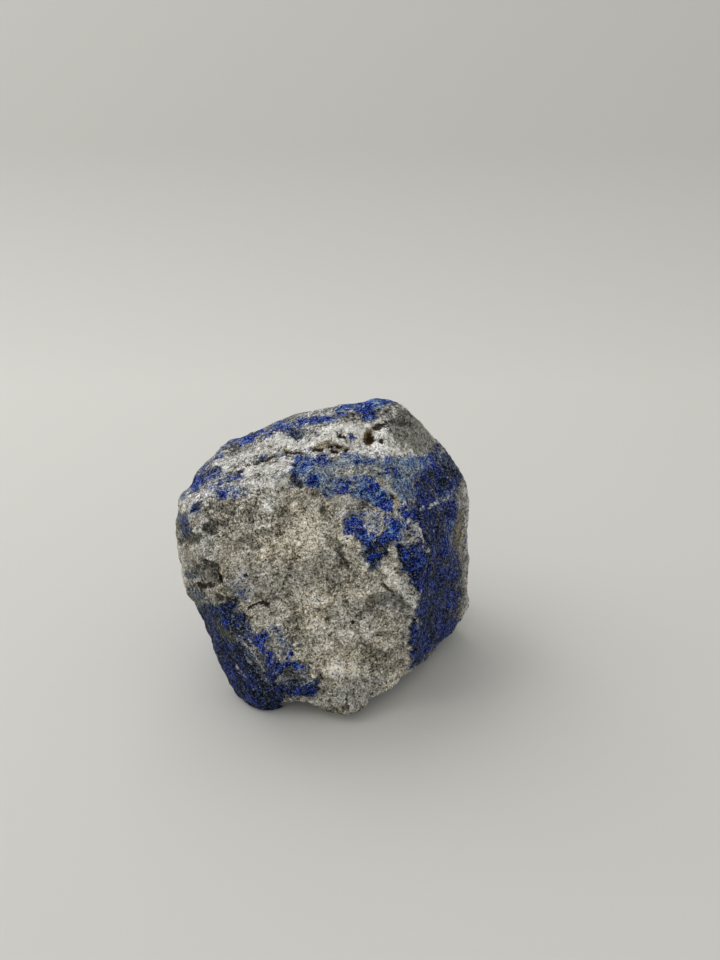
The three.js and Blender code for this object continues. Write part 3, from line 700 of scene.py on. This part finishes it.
def mineral_layers(points, normals):
    """The share of each mineral at points of the skin, in millimetres."""
    up_slope = points[:, 2] * math.cos(FACING_TILT) + points[:, 1] * math.sin(FACING_TILT)
    spots = np.column_stack([points[:, 0], up_slope])
    wander = np.column_stack([noise_at(points, RAGGED_SIZE_MM, k) for k in (0, 1)]) * RAGGED_MM
    tremble = np.column_stack([noise_at(points, FRAYED_SIZE_MM, k) for k in (8, 9)]) * FRAYED_MM
    ragged = spots + wander + tremble
    steady = spots + 0.5 * tremble
    broken = soft_step(noise_at(points, BREAK_MM, 12), -0.35, 0.15)
    towards = normals @ np.array(TO_VIEWER)
    facing = soft_step(towards, -0.15, 0.1)

    shown = {name: np.zeros(len(points)) for name in LAYERS}
    for _, share, tone, outline in BLUE_PATCHES:
        spot = np.ptp(outline, axis=0).min() < SPOT_MM
        edge = SPOT_EDGE_MM if spot else PATCH_EDGE_MM
        cover = soft_step(depth_inside(steady if spot else ragged, outline), -edge, edge)
        shown["lazurite"] += (share - shown["lazurite"]) * cover
        shown["tone"] += (tone - shown["tone"]) * cover
    strokes = [(layer, *stroke) for layer, group in STROKES.items() for stroke in group]
    for layer, _, share, half_width, line in strokes:
        drawn = ragged if half_width > THIN_MM else steady
        reach = distances(drawn, line) / half_width
        laid = share * soft_step(reach, 1.5, 0.5)
        if layer == "crack":
            laid = share * np.clip(1 - reach / 2, 0, 1)
        if half_width <= SLIM_MM:
            laid = laid * (0.65 + 0.35 * broken)
        shown[layer] = np.maximum(shown[layer], laid)
    for across, up, radius, depth in PITS:
        reach = distances(steady, [(across, up), (across, up)]) / radius
        shown["pit"] = np.maximum(shown["pit"], depth * soft_step(reach, 1.5, 0.7))
    shown["cap"] = np.maximum(shown["cap"], soft_step(depth_inside(ragged, CAP_OUTLINE), -1, 1))
    hidden = hidden_layers(points)
    layers = {name: shown[name] * facing + hidden.get(name, 0) * (1 - facing) for name in LAYERS}
    layers["swell"] = np.full(len(points), PLUMP_MM)
    for across, up, radius, rise in SWELLS:
        reach = np.hypot(spots[:, 0] - across, spots[:, 1] - up) / radius
        layers["swell"] += rise * soft_step(reach, 1, 0) * soft_step(towards, -0.7, -0.2)
    layers["topside"] = soft_step(normals[:, 2], 0.35, 0.8)
    return layers


def overhang(points):
    """Lifts the lower edge of the front off the ground, and draws it forward."""
    across, depth, up = points.T
    places, rises, reaches = zip(*OVERHANG)
    share = soft_step(depth, OVERHANG_BACK_MM[1], OVERHANG_BACK_MM[0]) * soft_step(up, OVERHANG_TOP_MM, 0)
    rise, reach = np.interp(across, places, rises), np.interp(across, places, reaches)
    return points + np.column_stack([0 * share, -reach * share, rise * share])


# ---- The skin ----


def relief_tree():
    """Geometry Nodes that break the smooth skin into lumps, facets, bed edges, cracks and pits."""
    tree = bpy.data.node_groups.new("broken skin", "GeometryNodeTree")
    face = tree.interface
    face.new_socket("Geometry", in_out="INPUT", socket_type="NodeSocketGeometry")
    for name in RELIEF_INPUTS:
        face.new_socket(name, in_out="INPUT", socket_type="NodeSocketFloat")
    face.new_socket("Material", in_out="INPUT", socket_type="NodeSocketMaterial")
    face.new_socket("Geometry", in_out="OUTPUT", socket_type="NodeSocketGeometry")
    given = add(tree, "NodeGroupInput").outputs
    place = add(tree, "GeometryNodeInputPosition")
    share = {
        name: add(tree, "GeometryNodeInputNamedAttribute", {"Name": name}, data_type="FLOAT")
        for name in ("lazurite", "crack", "hollow", "pit", "cap", "swell", "topside")
    }
    bent, turned = flowed(tree, place, FLOW_MM * MM, SKIN_BEND_MM * MM)
    scale = {
        name: add(tree, "ShaderNodeMath", [1.0, given[name]], operation="DIVIDE")
        for name in ("Lump", "Facet", "Bed")
    }

    # Lumps, down to the size of a grain, facets where a crystal has cleaved, and the drawn-out bed edges.
    lumps = add(
        tree, "ShaderNodeTexNoise", {"Vector": bent, "Scale": scale["Lump"], "Detail": 4.0, "Roughness": 0.52}
    )
    facets = add(
        tree, "ShaderNodeTexVoronoi", {"Vector": bent, "Scale": scale["Facet"]}, distance="CHEBYCHEV"
    )
    squeezed = add(tree, "ShaderNodeVectorMath", [turned, (0.25, 0.25, 1.0)], operation="MULTIPLY")
    edges = add(tree, "ShaderNodeTexNoise", {"Vector": squeezed, "Scale": scale["Bed"], "Detail": 2.0})

    # The worn cap, the top and the lazurite are smoother.
    rough = stray(
        tree, 0.0, (lumps, given["Lump height"]), (facets, given["Facet height"]),
        (edges, given["Bed height"]),
    )
    left = 1.0
    for name, change in (("cap", -0.6), ("topside", -0.35), ("lazurite", -0.3)):
        left = add(tree, "ShaderNodeMath", [share[name], change, left], operation="MULTIPLY_ADD")
    worn = add(tree, "ShaderNodeMath", [rough, left], operation="MULTIPLY")
    swollen = add(tree, "ShaderNodeMath", [share["swell"], MM, worn], operation="MULTIPLY_ADD")

    split = add(tree, "ShaderNodeMath", [share["crack"], share["crack"]], operation="MULTIPLY")
    open_crack = add(tree, "ShaderNodeMath", [split, share["pit"]], operation="ADD")
    cracked = add(tree, "ShaderNodeMath", [open_crack, given["Crack depth"]], operation="MULTIPLY")
    dished = add(tree, "ShaderNodeMath", [share["hollow"], given["Hollow depth"]], operation="MULTIPLY")
    sunk = add(tree, "ShaderNodeMath", [cracked, dished], operation="ADD")
    rise = add(tree, "ShaderNodeMath", [swollen, sunk], operation="SUBTRACT")

    # How far each spot stands above the skin around it, kept for the material, which paints shade on low
    # spots and light on high ones.
    around = add(tree, "GeometryNodeBlurAttribute", {"Value": rise, "Iterations": 14}, data_type="FLOAT")
    above = add(tree, "ShaderNodeMath", [rise, around], operation="SUBTRACT")
    kept = add(
        tree, "GeometryNodeStoreNamedAttribute",
        {"Geometry": given["Geometry"], "Name": "above", "Value": above}, data_type="FLOAT", domain="POINT",
    )
    normal = add(tree, "GeometryNodeInputNormal")
    offset = add(tree, "ShaderNodeVectorMath", {0: normal, "Scale": rise}, operation="SCALE")
    moved = add(tree, "GeometryNodeSetPosition", {"Geometry": kept, "Offset": offset})

    # Nothing reaches below the surface that the stone stands on.
    parts = add(tree, "ShaderNodeSeparateXYZ", {"Vector": place}).outputs
    floor = add(tree, "ShaderNodeMath", [parts["Z"], 0.0], operation="MAXIMUM")
    joined = add(tree, "ShaderNodeCombineXYZ", {"X": parts["X"], "Y": parts["Y"], "Z": floor})
    stood = add(tree, "GeometryNodeSetPosition", {"Geometry": moved, "Position": joined})
    real = add(tree, "GeometryNodeRealizeInstances", {"Geometry": stood})
    dressed = add(tree, "GeometryNodeSetMaterial", {"Geometry": real, "Material": given["Material"]})
    add(tree, "NodeGroupOutput", {"Geometry": dressed})
    return tree


def run_nodes(piece, tree, values):
    """Runs a Geometry Nodes tree on a piece with named inputs, and keeps its result as a plain mesh."""
    modifier = piece.modifiers.new(tree.name, "NODES")
    modifier.node_group = tree
    for item in tree.interface.items_tree:
        if item.item_type == "SOCKET" and item.in_out == "INPUT" and item.name in values:
            modifier[item.identifier] = values[item.name]
    graph = bpy.context.evaluated_depsgraph_get()
    made = bpy.data.meshes.new_from_object(piece.evaluated_get(graph), depsgraph=graph)
    piece.modifiers.clear()
    piece.data = made


def merged_copy(node):
    """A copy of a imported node's mesh, with its loose triangles joined."""
    shape = bmesh.new()
    shape.from_mesh(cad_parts[node].data)
    bmesh.ops.remove_doubles(shape, verts=shape.verts, dist=0.001 * MM)
    mesh = bpy.data.meshes.new("skin")
    shape.to_mesh(mesh)
    shape.free()
    mesh.materials.clear()
    return mesh


def vectors(collection, name):
    flat = np.empty(len(collection) * 3, np.float32)
    collection.foreach_get(name, flat)
    return flat.reshape(-1, 3)


# ---- The rock's material ----


def rock_patterns(tree):
    """Patterns that vary about a half, in millimetres of the stone's own space.

    They all bend a little, as the rock has flowed, and the drawn-out ones follow its beds.
    """
    place = add(tree, "ShaderNodeTexCoord").outputs["Object"]
    mm = add(tree, "ShaderNodeVectorMath", {0: place, "Scale": 1 / MM}, operation="SCALE")
    bent, turned = flowed(tree, mm, FLOW_MM, COLOUR_BEND_MM)
    beds = add(tree, "ShaderNodeVectorMath", [turned, (0.3, 0.3, 1.4)], operation="MULTIPLY")
    drawn = add(tree, "ShaderNodeVectorMath", [turned, (0.65, 0.65, 1.2)], operation="MULTIPLY")
    # Each noise: its space, its size in millimetres, its detail and its roughness.
    noises = {
        "streaks": (beds, 1.6, 4.0, 0.65),
        "fibres": (beds, 0.5, 2.0, 0.6),
        "blotches": (bent, 3.0, 3.0, 0.6),
        "mottle": (bent, 1.2, 2.0, 0.6),
        "clouds": (mm, 10.0, 2.0, 0.5),
        "grit": (drawn, 0.44, 2.0, 0.9),
        "wisps": (drawn, 2.0, 3.0, 0.6),
        "curls": (bent, 1.0, 2.0, 0.6),
        "dust": (mm, 0.26, 0.0, 0.5),
    }
    found = {}
    for name, (where, size_mm, detail, roughness) in noises.items():
        made = add(
            tree, "ShaderNodeTexNoise",
            {"Vector": where, "Scale": 1 / size_mm, "Detail": detail, "Roughness": roughness},
        )
        split = add(tree, "ShaderNodeSeparateColor", {"Color": made.outputs["Color"]}).outputs
        found[name] = made.outputs["Fac"]
        found[name + " 2"], found[name + " 3"] = split["Green"], split["Blue"]
    for name, where, size_mm in (("grains", bent, GRAIN_MM), ("fine grains", mm, FINE_GRAIN_MM)):
        made = add(tree, "ShaderNodeTexVoronoi", {"Vector": where, "Scale": 1 / size_mm})
        split = add(tree, "ShaderNodeSeparateColor", {"Color": made.outputs["Color"]}).outputs
        found[name], found[name + " 2"], found[name + " 3"] = split["Red"], split["Green"], split["Blue"]
        found[name + " tilt"] = add(
            tree, "ShaderNodeVectorMath", [made.outputs["Color"], (0.5, 0.5, 0.5)], operation="SUBTRACT"
        )
    gaps = add(
        tree, "ShaderNodeTexVoronoi", {"Vector": bent, "Scale": 1 / GRAIN_MM}, feature="DISTANCE_TO_EDGE"
    )
    found["gaps"] = gaps.outputs["Distance"]
    return found


def on_lines(tree, pattern, width):
    """How near a spot is to the thin lines along which a pattern passes through its middle."""
    off = add(tree, "ShaderNodeMath", [pattern, 0.5], operation="SUBTRACT")
    away = add(tree, "ShaderNodeMath", [off], operation="ABSOLUTE")
    return add(tree, "ShaderNodeMapRange", {"Value": away, "From Max": width, "To Min": 1.0, "To Max": 0.0})


def calcite_colour(tree, found, share, colours):
    """Grey-beige calcite, mottled over a few millimetres, each grain from smoky to milky."""
    paleness = stray(
        tree, 0.56, (found["clouds"], 1.3), (found["blotches"], 1.7), (found["mottle"], 1.0),
        (found["streaks"], 1.0), (found["grains 2"], 0.26), (found["fine grains 2"], 0.3),
        (found["grit 2"], 1.6),
    )
    milky = add(tree, "ShaderNodeMath", [share["milky"], 0.22, paleness], operation="MULTIPLY_ADD")
    base = add(
        tree, "ShaderNodeValToRGB", {"Fac": milky},
        stops=[
            (0.0, colours.smoky), (0.25, colours.drab), (0.5, colours.oatmeal), (0.75, colours.cream),
            (1.0, colours.milk),
        ],
    )
    warmth = stray(tree, 0.5, (found["clouds 3"], 2.4), (found["mottle 3"], 1.0), (found["grit 3"], 0.3))
    warm = add(
        tree, "ShaderNodeMix",
        {"Factor": warmth, "A": (0.97, 1.0, 1.07), "B": (1.04, 0.99, 0.91)}, data_type="RGBA",
    )
    cool = add(
        tree, "ShaderNodeMix",
        {"Factor": share["topside"], "A": warm, "B": (0.98, 1.0, 1.11)}, data_type="RGBA",
    )
    return add(tree, "ShaderNodeVectorMath", [base, cool], operation="MULTIPLY")


def grey_among_blue(tree, found, haze, colours):
    """Dark slate with a fine pale web, bluish where the blue is hazy."""
    lightness = stray(
        tree, 0.45, (found["streaks 2"], 1.4), (found["fibres 2"], 1.0), (found["mottle 2"], 1.0),
        (found["grit 2"], 1.4),
    )
    slate = add(
        tree, "ShaderNodeValToRGB", {"Fac": lightness},
        stops=[(0.0, colours.soot), (0.4, colours.graphite), (0.7, colours.pewter), (1.0, colours.web)],
    )
    mist = add(
        tree, "ShaderNodeValToRGB", {"Fac": lightness},
        stops=[(0.1, colours.mist), (0.6, colours.pale_mist), (1.0, colours.web)],
    )
    greys = add(tree, "ShaderNodeMix", {"Factor": haze, "A": slate, "B": mist}, data_type="RGBA")
    curls = on_lines(tree, found["curls"], 0.03)
    webbed = add(tree, "ShaderNodeMath", [curls, 0.5], operation="MULTIPLY")
    return add(tree, "ShaderNodeMix", {"Factor": webbed, "A": greys, "B": colours.web}, data_type="RGBA")


def lazurite_colour(tree, found, share, colours):
    """Lazurite, from near black through vivid to hazy."""
    tone = stray(
        tree, share["tone"], (found["blotches 2"], 1.3), (found["mottle 3"], 1.0), (found["fibres"], 1.2),
        (found["grit 3"], 0.6), (found["grains 3"], 0.2),
    )
    return add(
        tree, "ShaderNodeValToRGB", {"Fac": tone},
        stops=[
            (0.0, colours.night), (0.22, colours.navy), (0.4, colours.vivid), (0.58, colours.vivid),
            (0.72, colours.cobalt), (0.88, colours.hazy), (1.0, colours.pale_haze),
        ],
    )


def broken_lapis(colours):
    """Broken lapis lazuli: blue lazurite with grey calcite between, white veins and rusty stains.

    It is a rough fracture, so it is mostly dull, with a glint where a cleavage face catches the light, and
    painted glints on some bright grains.
    """
    material = bpy.data.materials.new("broken lapis lazuli")
    material.use_nodes = True
    tree = material.node_tree
    tree.nodes.clear()
    share = {
        name: add(tree, "ShaderNodeAttribute", attribute_name=name).outputs["Fac"]
        for name in (*LAYERS, "above")
    }
    found = rock_patterns(tree)

    # Which grains are blue: those of a share that the place calls for.
    called = add(tree, "ShaderNodeMath", [share["lazurite"], 1.45, -0.78], operation="MULTIPLY_ADD")
    blueness = stray(
        tree, called, (found["streaks"], 2.0), (found["blotches"], 1.2), (found["mottle"], 1.0),
        (found["grit"], 1.8),
    )
    blue = add(
        tree, "ShaderNodeMapRange",
        {"Value": blueness, "From Min": -0.2, "From Max": 0.2}, interpolation_type="SMOOTHSTEP",
    )

    # Among the blue, the grey is darker. Where the blue is hazy or sparse, it stays light.
    calcite = calcite_colour(tree, found, share, colours)
    depth = add(
        tree, "ShaderNodeMapRange",
        {"Value": share["tone"], "From Min": 0.2, "From Max": 0.5, "To Min": 1.0, "To Max": 0.15},
    )
    within = add(
        tree, "ShaderNodeMapRange",
        {"Value": share["lazurite"], "From Min": 0.05, "From Max": 0.45}, interpolation_type="SMOOTHSTEP",
    )
    haze = add(
        tree, "ShaderNodeMapRange", {"Value": share["tone"], "From Min": 0.3, "From Max": 0.62, "To Max": 0.9}
    )
    tinged = add(tree, "ShaderNodeMath", [depth, haze], operation="MAXIMUM")
    near_blue = add(tree, "ShaderNodeMath", [tinged, within], operation="MULTIPLY")
    grey = add(
        tree, "ShaderNodeMix",
        {"Factor": near_blue, "A": calcite, "B": grey_among_blue(tree, found, haze, colours)},
        data_type="RGBA",
    )
    covered = add(
        tree, "ShaderNodeMix",
        {"Factor": blue, "A": grey, "B": lazurite_colour(tree, found, share, colours)}, data_type="RGBA",
    )

    # Veins, slate, rust and the worn cap, each broken up by the beds and the grains.
    for name, cover_most in (("marble", 0.85), ("slate", 0.85), ("rust", 0.8), ("cap", 0.8)):
        called = add(tree, "ShaderNodeMath", [share[name], 1.3, -0.65], operation="MULTIPLY_ADD")
        covering = stray(tree, called, (found["streaks"], 1.8), (found["grit"], 1.0))
        cover = add(
            tree, "ShaderNodeMapRange",
            {"Value": covering, "From Min": -0.2, "From Max": 0.25, "To Max": cover_most},
            interpolation_type="SMOOTHSTEP",
        )
        some = add(tree, "ShaderNodeMapRange", {"Value": share[name], "From Max": 0.1})
        laid = add(tree, "ShaderNodeMath", [cover, some], operation="MULTIPLY")
        covered = add(
            tree, "ShaderNodeMix",
            {"Factor": laid, "A": covered, "B": getattr(colours, name)}, data_type="RGBA",
        )

    # The light on each grain: more contrast in the dark minerals, and painted shade in the gaps between
    # grains and in the hollows.
    fine = stray(tree, 1.0, (found["grit 2"], 2.2), (found["fine grains"], 0.5), (found["dust"], 2.2))
    calm = add(tree, "ShaderNodeMath", [share["marble"], -0.6, 1.0], operation="MULTIPLY_ADD")
    sharper = add(tree, "ShaderNodeMath", [blue, 1.7, calm], operation="MULTIPLY_ADD")
    contrast = add(tree, "ShaderNodeMath", [fine, sharper], operation="POWER")
    spread = add(tree, "ShaderNodeMath", [contrast, 2.0], operation="MINIMUM")
    # Painted glints: the grains that stand out most among the blue turn pale.
    bloom = add(
        tree, "ShaderNodeMapRange", {"Value": contrast, "From Min": 1.5, "From Max": 3.0, "To Max": 0.45}
    )
    blooming = add(
        tree, "ShaderNodeMapRange", {"Value": share["tone"], "From Max": 0.6, "To Min": 0.3, "To Max": 1.0}
    )
    glint = add(tree, "ShaderNodeMath", [bloom, blooming], operation="MULTIPLY")
    glint = add(tree, "ShaderNodeMath", [glint, blue], operation="MULTIPLY")

    # Dark specks, painted shade in the gaps between grains, painted shade on low spots and painted light on
    # high ones: each one's range, and the light at its ends.
    lights = [
        add(
            tree, "ShaderNodeMapRange",
            {"Value": value, "From Min": low, "From Max": high, "To Min": darker, "To Max": lighter},
        )
        for value, low, high, darker, lighter in (
            (found["grit"], 0.26, 0.34, 0.3, 1.0),
            (found["gaps"], 0.0, 0.12, 0.92, 1.0),
            (share["above"], -0.3 * MM, 0.3 * MM, 0.62, 1.3),
        )
    ]
    # Painted shade in the hollows, broken up by the mottle and the grit.
    uneven = stray(tree, share["hollow"], (found["mottle"], 1.0), (found["grit"], 0.9))
    deep = add(tree, "ShaderNodeMapRange", {"Value": uneven, "From Min": 0.1, "From Max": 0.8})
    some = add(tree, "ShaderNodeMapRange", {"Value": share["hollow"], "From Max": 0.2, "To Max": -0.65})
    dished = add(tree, "ShaderNodeMath", [deep, some, 1.0], operation="MULTIPLY_ADD")
    flaky = stray(tree, share["topside"], (found["blotches 3"], 3.0))
    flakes = add(
        tree, "ShaderNodeMapRange", {"Value": flaky, "From Min": 0.2, "From Max": 0.9, "To Max": -0.6}
    )
    wisps = on_lines(tree, found["wisps"], 0.03)
    split = add(tree, "ShaderNodeMath", [wisps, flakes, 1.0], operation="MULTIPLY_ADD")
    # Marble and milky calcite lighten the colour; the strokes of painted shade darken it.
    tints = [
        add(tree, "ShaderNodeMath", [share[name], gain, 1.0], operation="MULTIPLY_ADD")
        for name, gain in (("marble", 0.2), ("milky", 0.2), ("grime", -0.5))
    ]
    lit = spread
    for part in (*lights, dished, split, *tints):
        lit = add(tree, "ShaderNodeMath", [lit, part], operation="MULTIPLY")
    shaded = add(tree, "ShaderNodeVectorMath", {0: covered, "Scale": lit}, operation="SCALE")

    # Bright grains and painted glints lie over it all, fewer and duller among the blue.
    fleck = add(
        tree, "ShaderNodeMix", {"Factor": blue, "A": colours.fleck, "B": colours.blue_fleck}, data_type="RGBA"
    )
    pale = add(
        tree, "ShaderNodeMapRange",
        {"Value": found["grit 3"], "From Min": 0.6, "From Max": 0.68, "To Max": 0.6},
    )
    bright = add(tree, "ShaderNodeMath", [pale, glint], operation="MAXIMUM")
    flecked = add(tree, "ShaderNodeMix", {"Factor": bright, "A": shaded, "B": fleck}, data_type="RGBA")

    # Cracks and pits, dark with their filling and with painted shade, with crumbled edges and a rusty floor.
    rusty = add(tree, "ShaderNodeMath", [share["pit"], share["rust"]], operation="MULTIPLY")
    flecked = add(
        tree, "ShaderNodeMix", {"Factor": rusty, "A": flecked, "B": colours.pit_floor}, data_type="RGBA"
    )
    solid = add(tree, "ShaderNodeMath", [rusty, -0.3, 0.85], operation="MULTIPLY_ADD")
    dark = add(tree, "ShaderNodeMath", [share["pit"], solid, share["crack"]], operation="MULTIPLY_ADD")
    crumbled = stray(tree, dark, (found["grit"], 1.5), (found["mottle"], 0.8))
    some = add(tree, "ShaderNodeMapRange", {"Value": dark, "From Max": 0.15})
    dark_share = add(
        tree, "ShaderNodeMapRange", {"Value": crumbled, "From Min": 0.38, "From Max": 0.5, "To Max": 0.92}
    )
    gaping = add(tree, "ShaderNodeMath", [dark_share, some], operation="MULTIPLY")
    final = add(tree, "ShaderNodeMix", {"Factor": gaping, "A": flecked, "B": colours.crack}, data_type="RGBA")

    # Each grain is broken at its own angle.
    tilts = add(
        tree, "ShaderNodeVectorMath", [found["grains tilt"], found["fine grains tilt"]], operation="ADD"
    )
    geometry = add(tree, "ShaderNodeNewGeometry").outputs["Normal"]
    facet = add(tree, "ShaderNodeVectorMath", [tilts, (1.0, 1.0, 1.0), geometry], operation="MULTIPLY_ADD")
    facet_normal = add(tree, "ShaderNodeVectorMath", [facet], operation="NORMALIZE")
    height = stray(tree, 0.0, (found["fibres"], 1.0), (found["blotches"], 0.8))
    bump = add(
        tree, "ShaderNodeBump",
        {"Height": height, "Distance": 0.5 * MM, "Strength": 1.0, "Normal": facet_normal},
    )
    gloss = add(tree, "ShaderNodeMapRange", {"Value": found["grains 2"], "To Min": 0.32, "To Max": 0.8})
    shader = add(
        tree, "ShaderNodeBsdfPrincipled",
        {"Base Color": final, "Roughness": gloss, "IOR": 1.5, "Specular IOR Level": 0.07, "Normal": bump},
    )
    add(tree, "ShaderNodeOutputMaterial", {"Surface": shader})
    return material


class LAPIS_OT_stone(bpy.types.Operator):
    """Make the stone's broken skin with its minerals"""

    bl_idname = "lapis.stone"
    bl_label = "Stone"

    def execute(self, context):
        sizes, colours = context.scene.lapis_sizes, context.scene.lapis_colours
        stone = bpy.data.objects.new("lapis_stone", merged_copy(NODE))
        context.collection.objects.link(stone)
        smooth = stone.modifiers.new("smooth", "SUBSURF")
        smooth.levels = smooth.render_levels = 2
        graph = context.evaluated_depsgraph_get()
        made = bpy.data.meshes.new_from_object(stone.evaluated_get(graph), depsgraph=graph)
        stone.modifiers.clear()
        stone.data = made
        points = vectors(made.vertices, "co") / MM
        normals = vectors(made.vertices, "normal")
        made.vertices.foreach_set("co", (overhang(points) * MM).astype(np.float32).ravel())
        for name, values in mineral_layers(points, normals).items():
            made.attributes.new(name, "FLOAT", "POINT").data.foreach_set("value", values.astype(np.float32))
        given = {name: getattr(sizes, setting) for name, setting in RELIEF_INPUTS.items()}
        run_nodes(stone, relief_tree(), {**given, "Material": broken_lapis(colours)})
        stone.data.shade_smooth()
        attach(stone, "root")
        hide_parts(NODE)
        return {"FINISHED"}


# ---- The stage ----

CAMERA_AT = (0.00742, -0.19376, 0.16245)
CAMERA_PITCH = math.radians(31)  # down from the level
LENS_MM = 38.6
FRAME_HEIGHT_MM = 36
LIGHT_SIZE = 0.8
LIT_POINT = Vector((0, 0, 0.03))
WINDOW_AT = Vector((-0.218, 0.598, 0.636))
SIDE_AT = Vector((-0.6, 0.2, 0.65))
SKY = linear(0xFFFFFC)


class LAPIS_OT_stage(bpy.types.Operator):
    """Make the pale sweep, the soft lights and the camera"""

    bl_idname = "lapis.stage"
    bl_label = "Stage"

    def execute(self, context):
        stage = context.scene.lapis_stage
        sweep = bpy.data.objects.new("sweep", sweep_mesh(stage.paper))
        context.collection.objects.link(sweep)
        lamps = (("window", WINDOW_AT, stage.window_power), ("side", SIDE_AT, stage.side_power))
        for name, place, power in lamps:
            lamp = bpy.data.lights.new(name, "AREA")
            lamp.size, lamp.energy = LIGHT_SIZE, power
            holder = bpy.data.objects.new(name, lamp)
            holder.location = place
            holder.rotation_euler = (LIT_POINT - place).to_track_quat("-Z", "Y").to_euler()
            context.collection.objects.link(holder)
        world = bpy.data.worlds.new("studio")
        world.use_nodes = True
        world.node_tree.nodes["Background"].inputs["Color"].default_value = (*SKY, 1)
        world.node_tree.nodes["Background"].inputs["Strength"].default_value = stage.sky
        context.scene.world = world
        camera = bpy.data.cameras.new("camera")
        camera.lens, camera.sensor_fit, camera.sensor_height = LENS_MM, "VERTICAL", FRAME_HEIGHT_MM
        camera.clip_start, camera.clip_end = 0.01, 10
        holder = bpy.data.objects.new("camera", camera)
        holder.location = CAMERA_AT
        holder.rotation_euler = (math.pi / 2 - CAMERA_PITCH, 0, 0)
        context.collection.objects.link(holder)
        context.scene.camera = holder
        context.scene.view_settings.view_transform = "Standard"
        return {"FINISHED"}


def sweep_mesh(paper):
    """A floor that bends up into a leaning backdrop behind the stone."""
    half_width, front, bend_at, radius, rise, lean = 1.2, -0.9, 0.14, 0.14, 0.45, math.radians(55)
    profile = [(front, 0.0), (bend_at, 0.0)]
    steps = 24
    for k in range(1, steps + 1):
        turn = lean * k / steps
        profile.append((bend_at + radius * math.sin(turn), radius * (1 - math.cos(turn))))
    foot_y, foot_z = profile[-1]
    profile.append((foot_y + rise * math.cos(lean), foot_z + rise * math.sin(lean)))
    verts = [(side * half_width, y, z) for y, z in profile for side in (-1, 1)]
    faces = [(2 * k, 2 * k + 1, 2 * k + 3, 2 * k + 2) for k in range(len(profile) - 1)]
    mesh = bpy.data.meshes.new("sweep")
    mesh.from_pydata(verts, [], faces)
    mesh.shade_smooth()
    material = bpy.data.materials.new("matt paper")  # dull, so that the stone's shadow lies soft on it
    material.use_nodes = True
    shader = material.node_tree.nodes["Principled BSDF"]
    shader.inputs["Base Color"].default_value = (*paper, 1)
    shader.inputs["Roughness"].default_value = 0.9
    shader.inputs["Specular IOR Level"].default_value = 0.2
    mesh.materials.append(material)
    return mesh


class LAPIS_PT_panel(bpy.types.Panel):
    """Lists the pieces of the stone and their settings."""

    bl_idname = "LAPIS_PT_panel"
    bl_label = "Rough lapis lazuli"
    bl_space_type = "VIEW_3D"
    bl_region_type = "UI"
    bl_category = "Lapis"

    def draw(self, context):
        for kind in (LAPIS_OT_stage, LAPIS_OT_stone):
            self.layout.operator(kind.bl_idname)
        for group in SETTINGS:
            settings = getattr(context.scene, group)
            for name in settings.__annotations__:
                self.layout.prop(settings, name)


SETTINGS = {"lapis_sizes": LapisSizes, "lapis_colours": LapisColours, "lapis_stage": LapisStage}
CLASSES = (*SETTINGS.values(), LAPIS_OT_stone, LAPIS_OT_stage, LAPIS_PT_panel)


def register():
    for kind in CLASSES:
        bpy.utils.register_class(kind)
    for name, kind in SETTINGS.items():
        setattr(bpy.types.Scene, name, bpy.props.PointerProperty(type=kind))


def unregister():
    for name in SETTINGS:
        delattr(bpy.types.Scene, name)
    for kind in reversed(CLASSES):
        bpy.utils.unregister_class(kind)


def main():
    register()
    bpy.ops.lapis.stage()
    bpy.ops.lapis.stone()


if __name__ == "__main__":
    main()
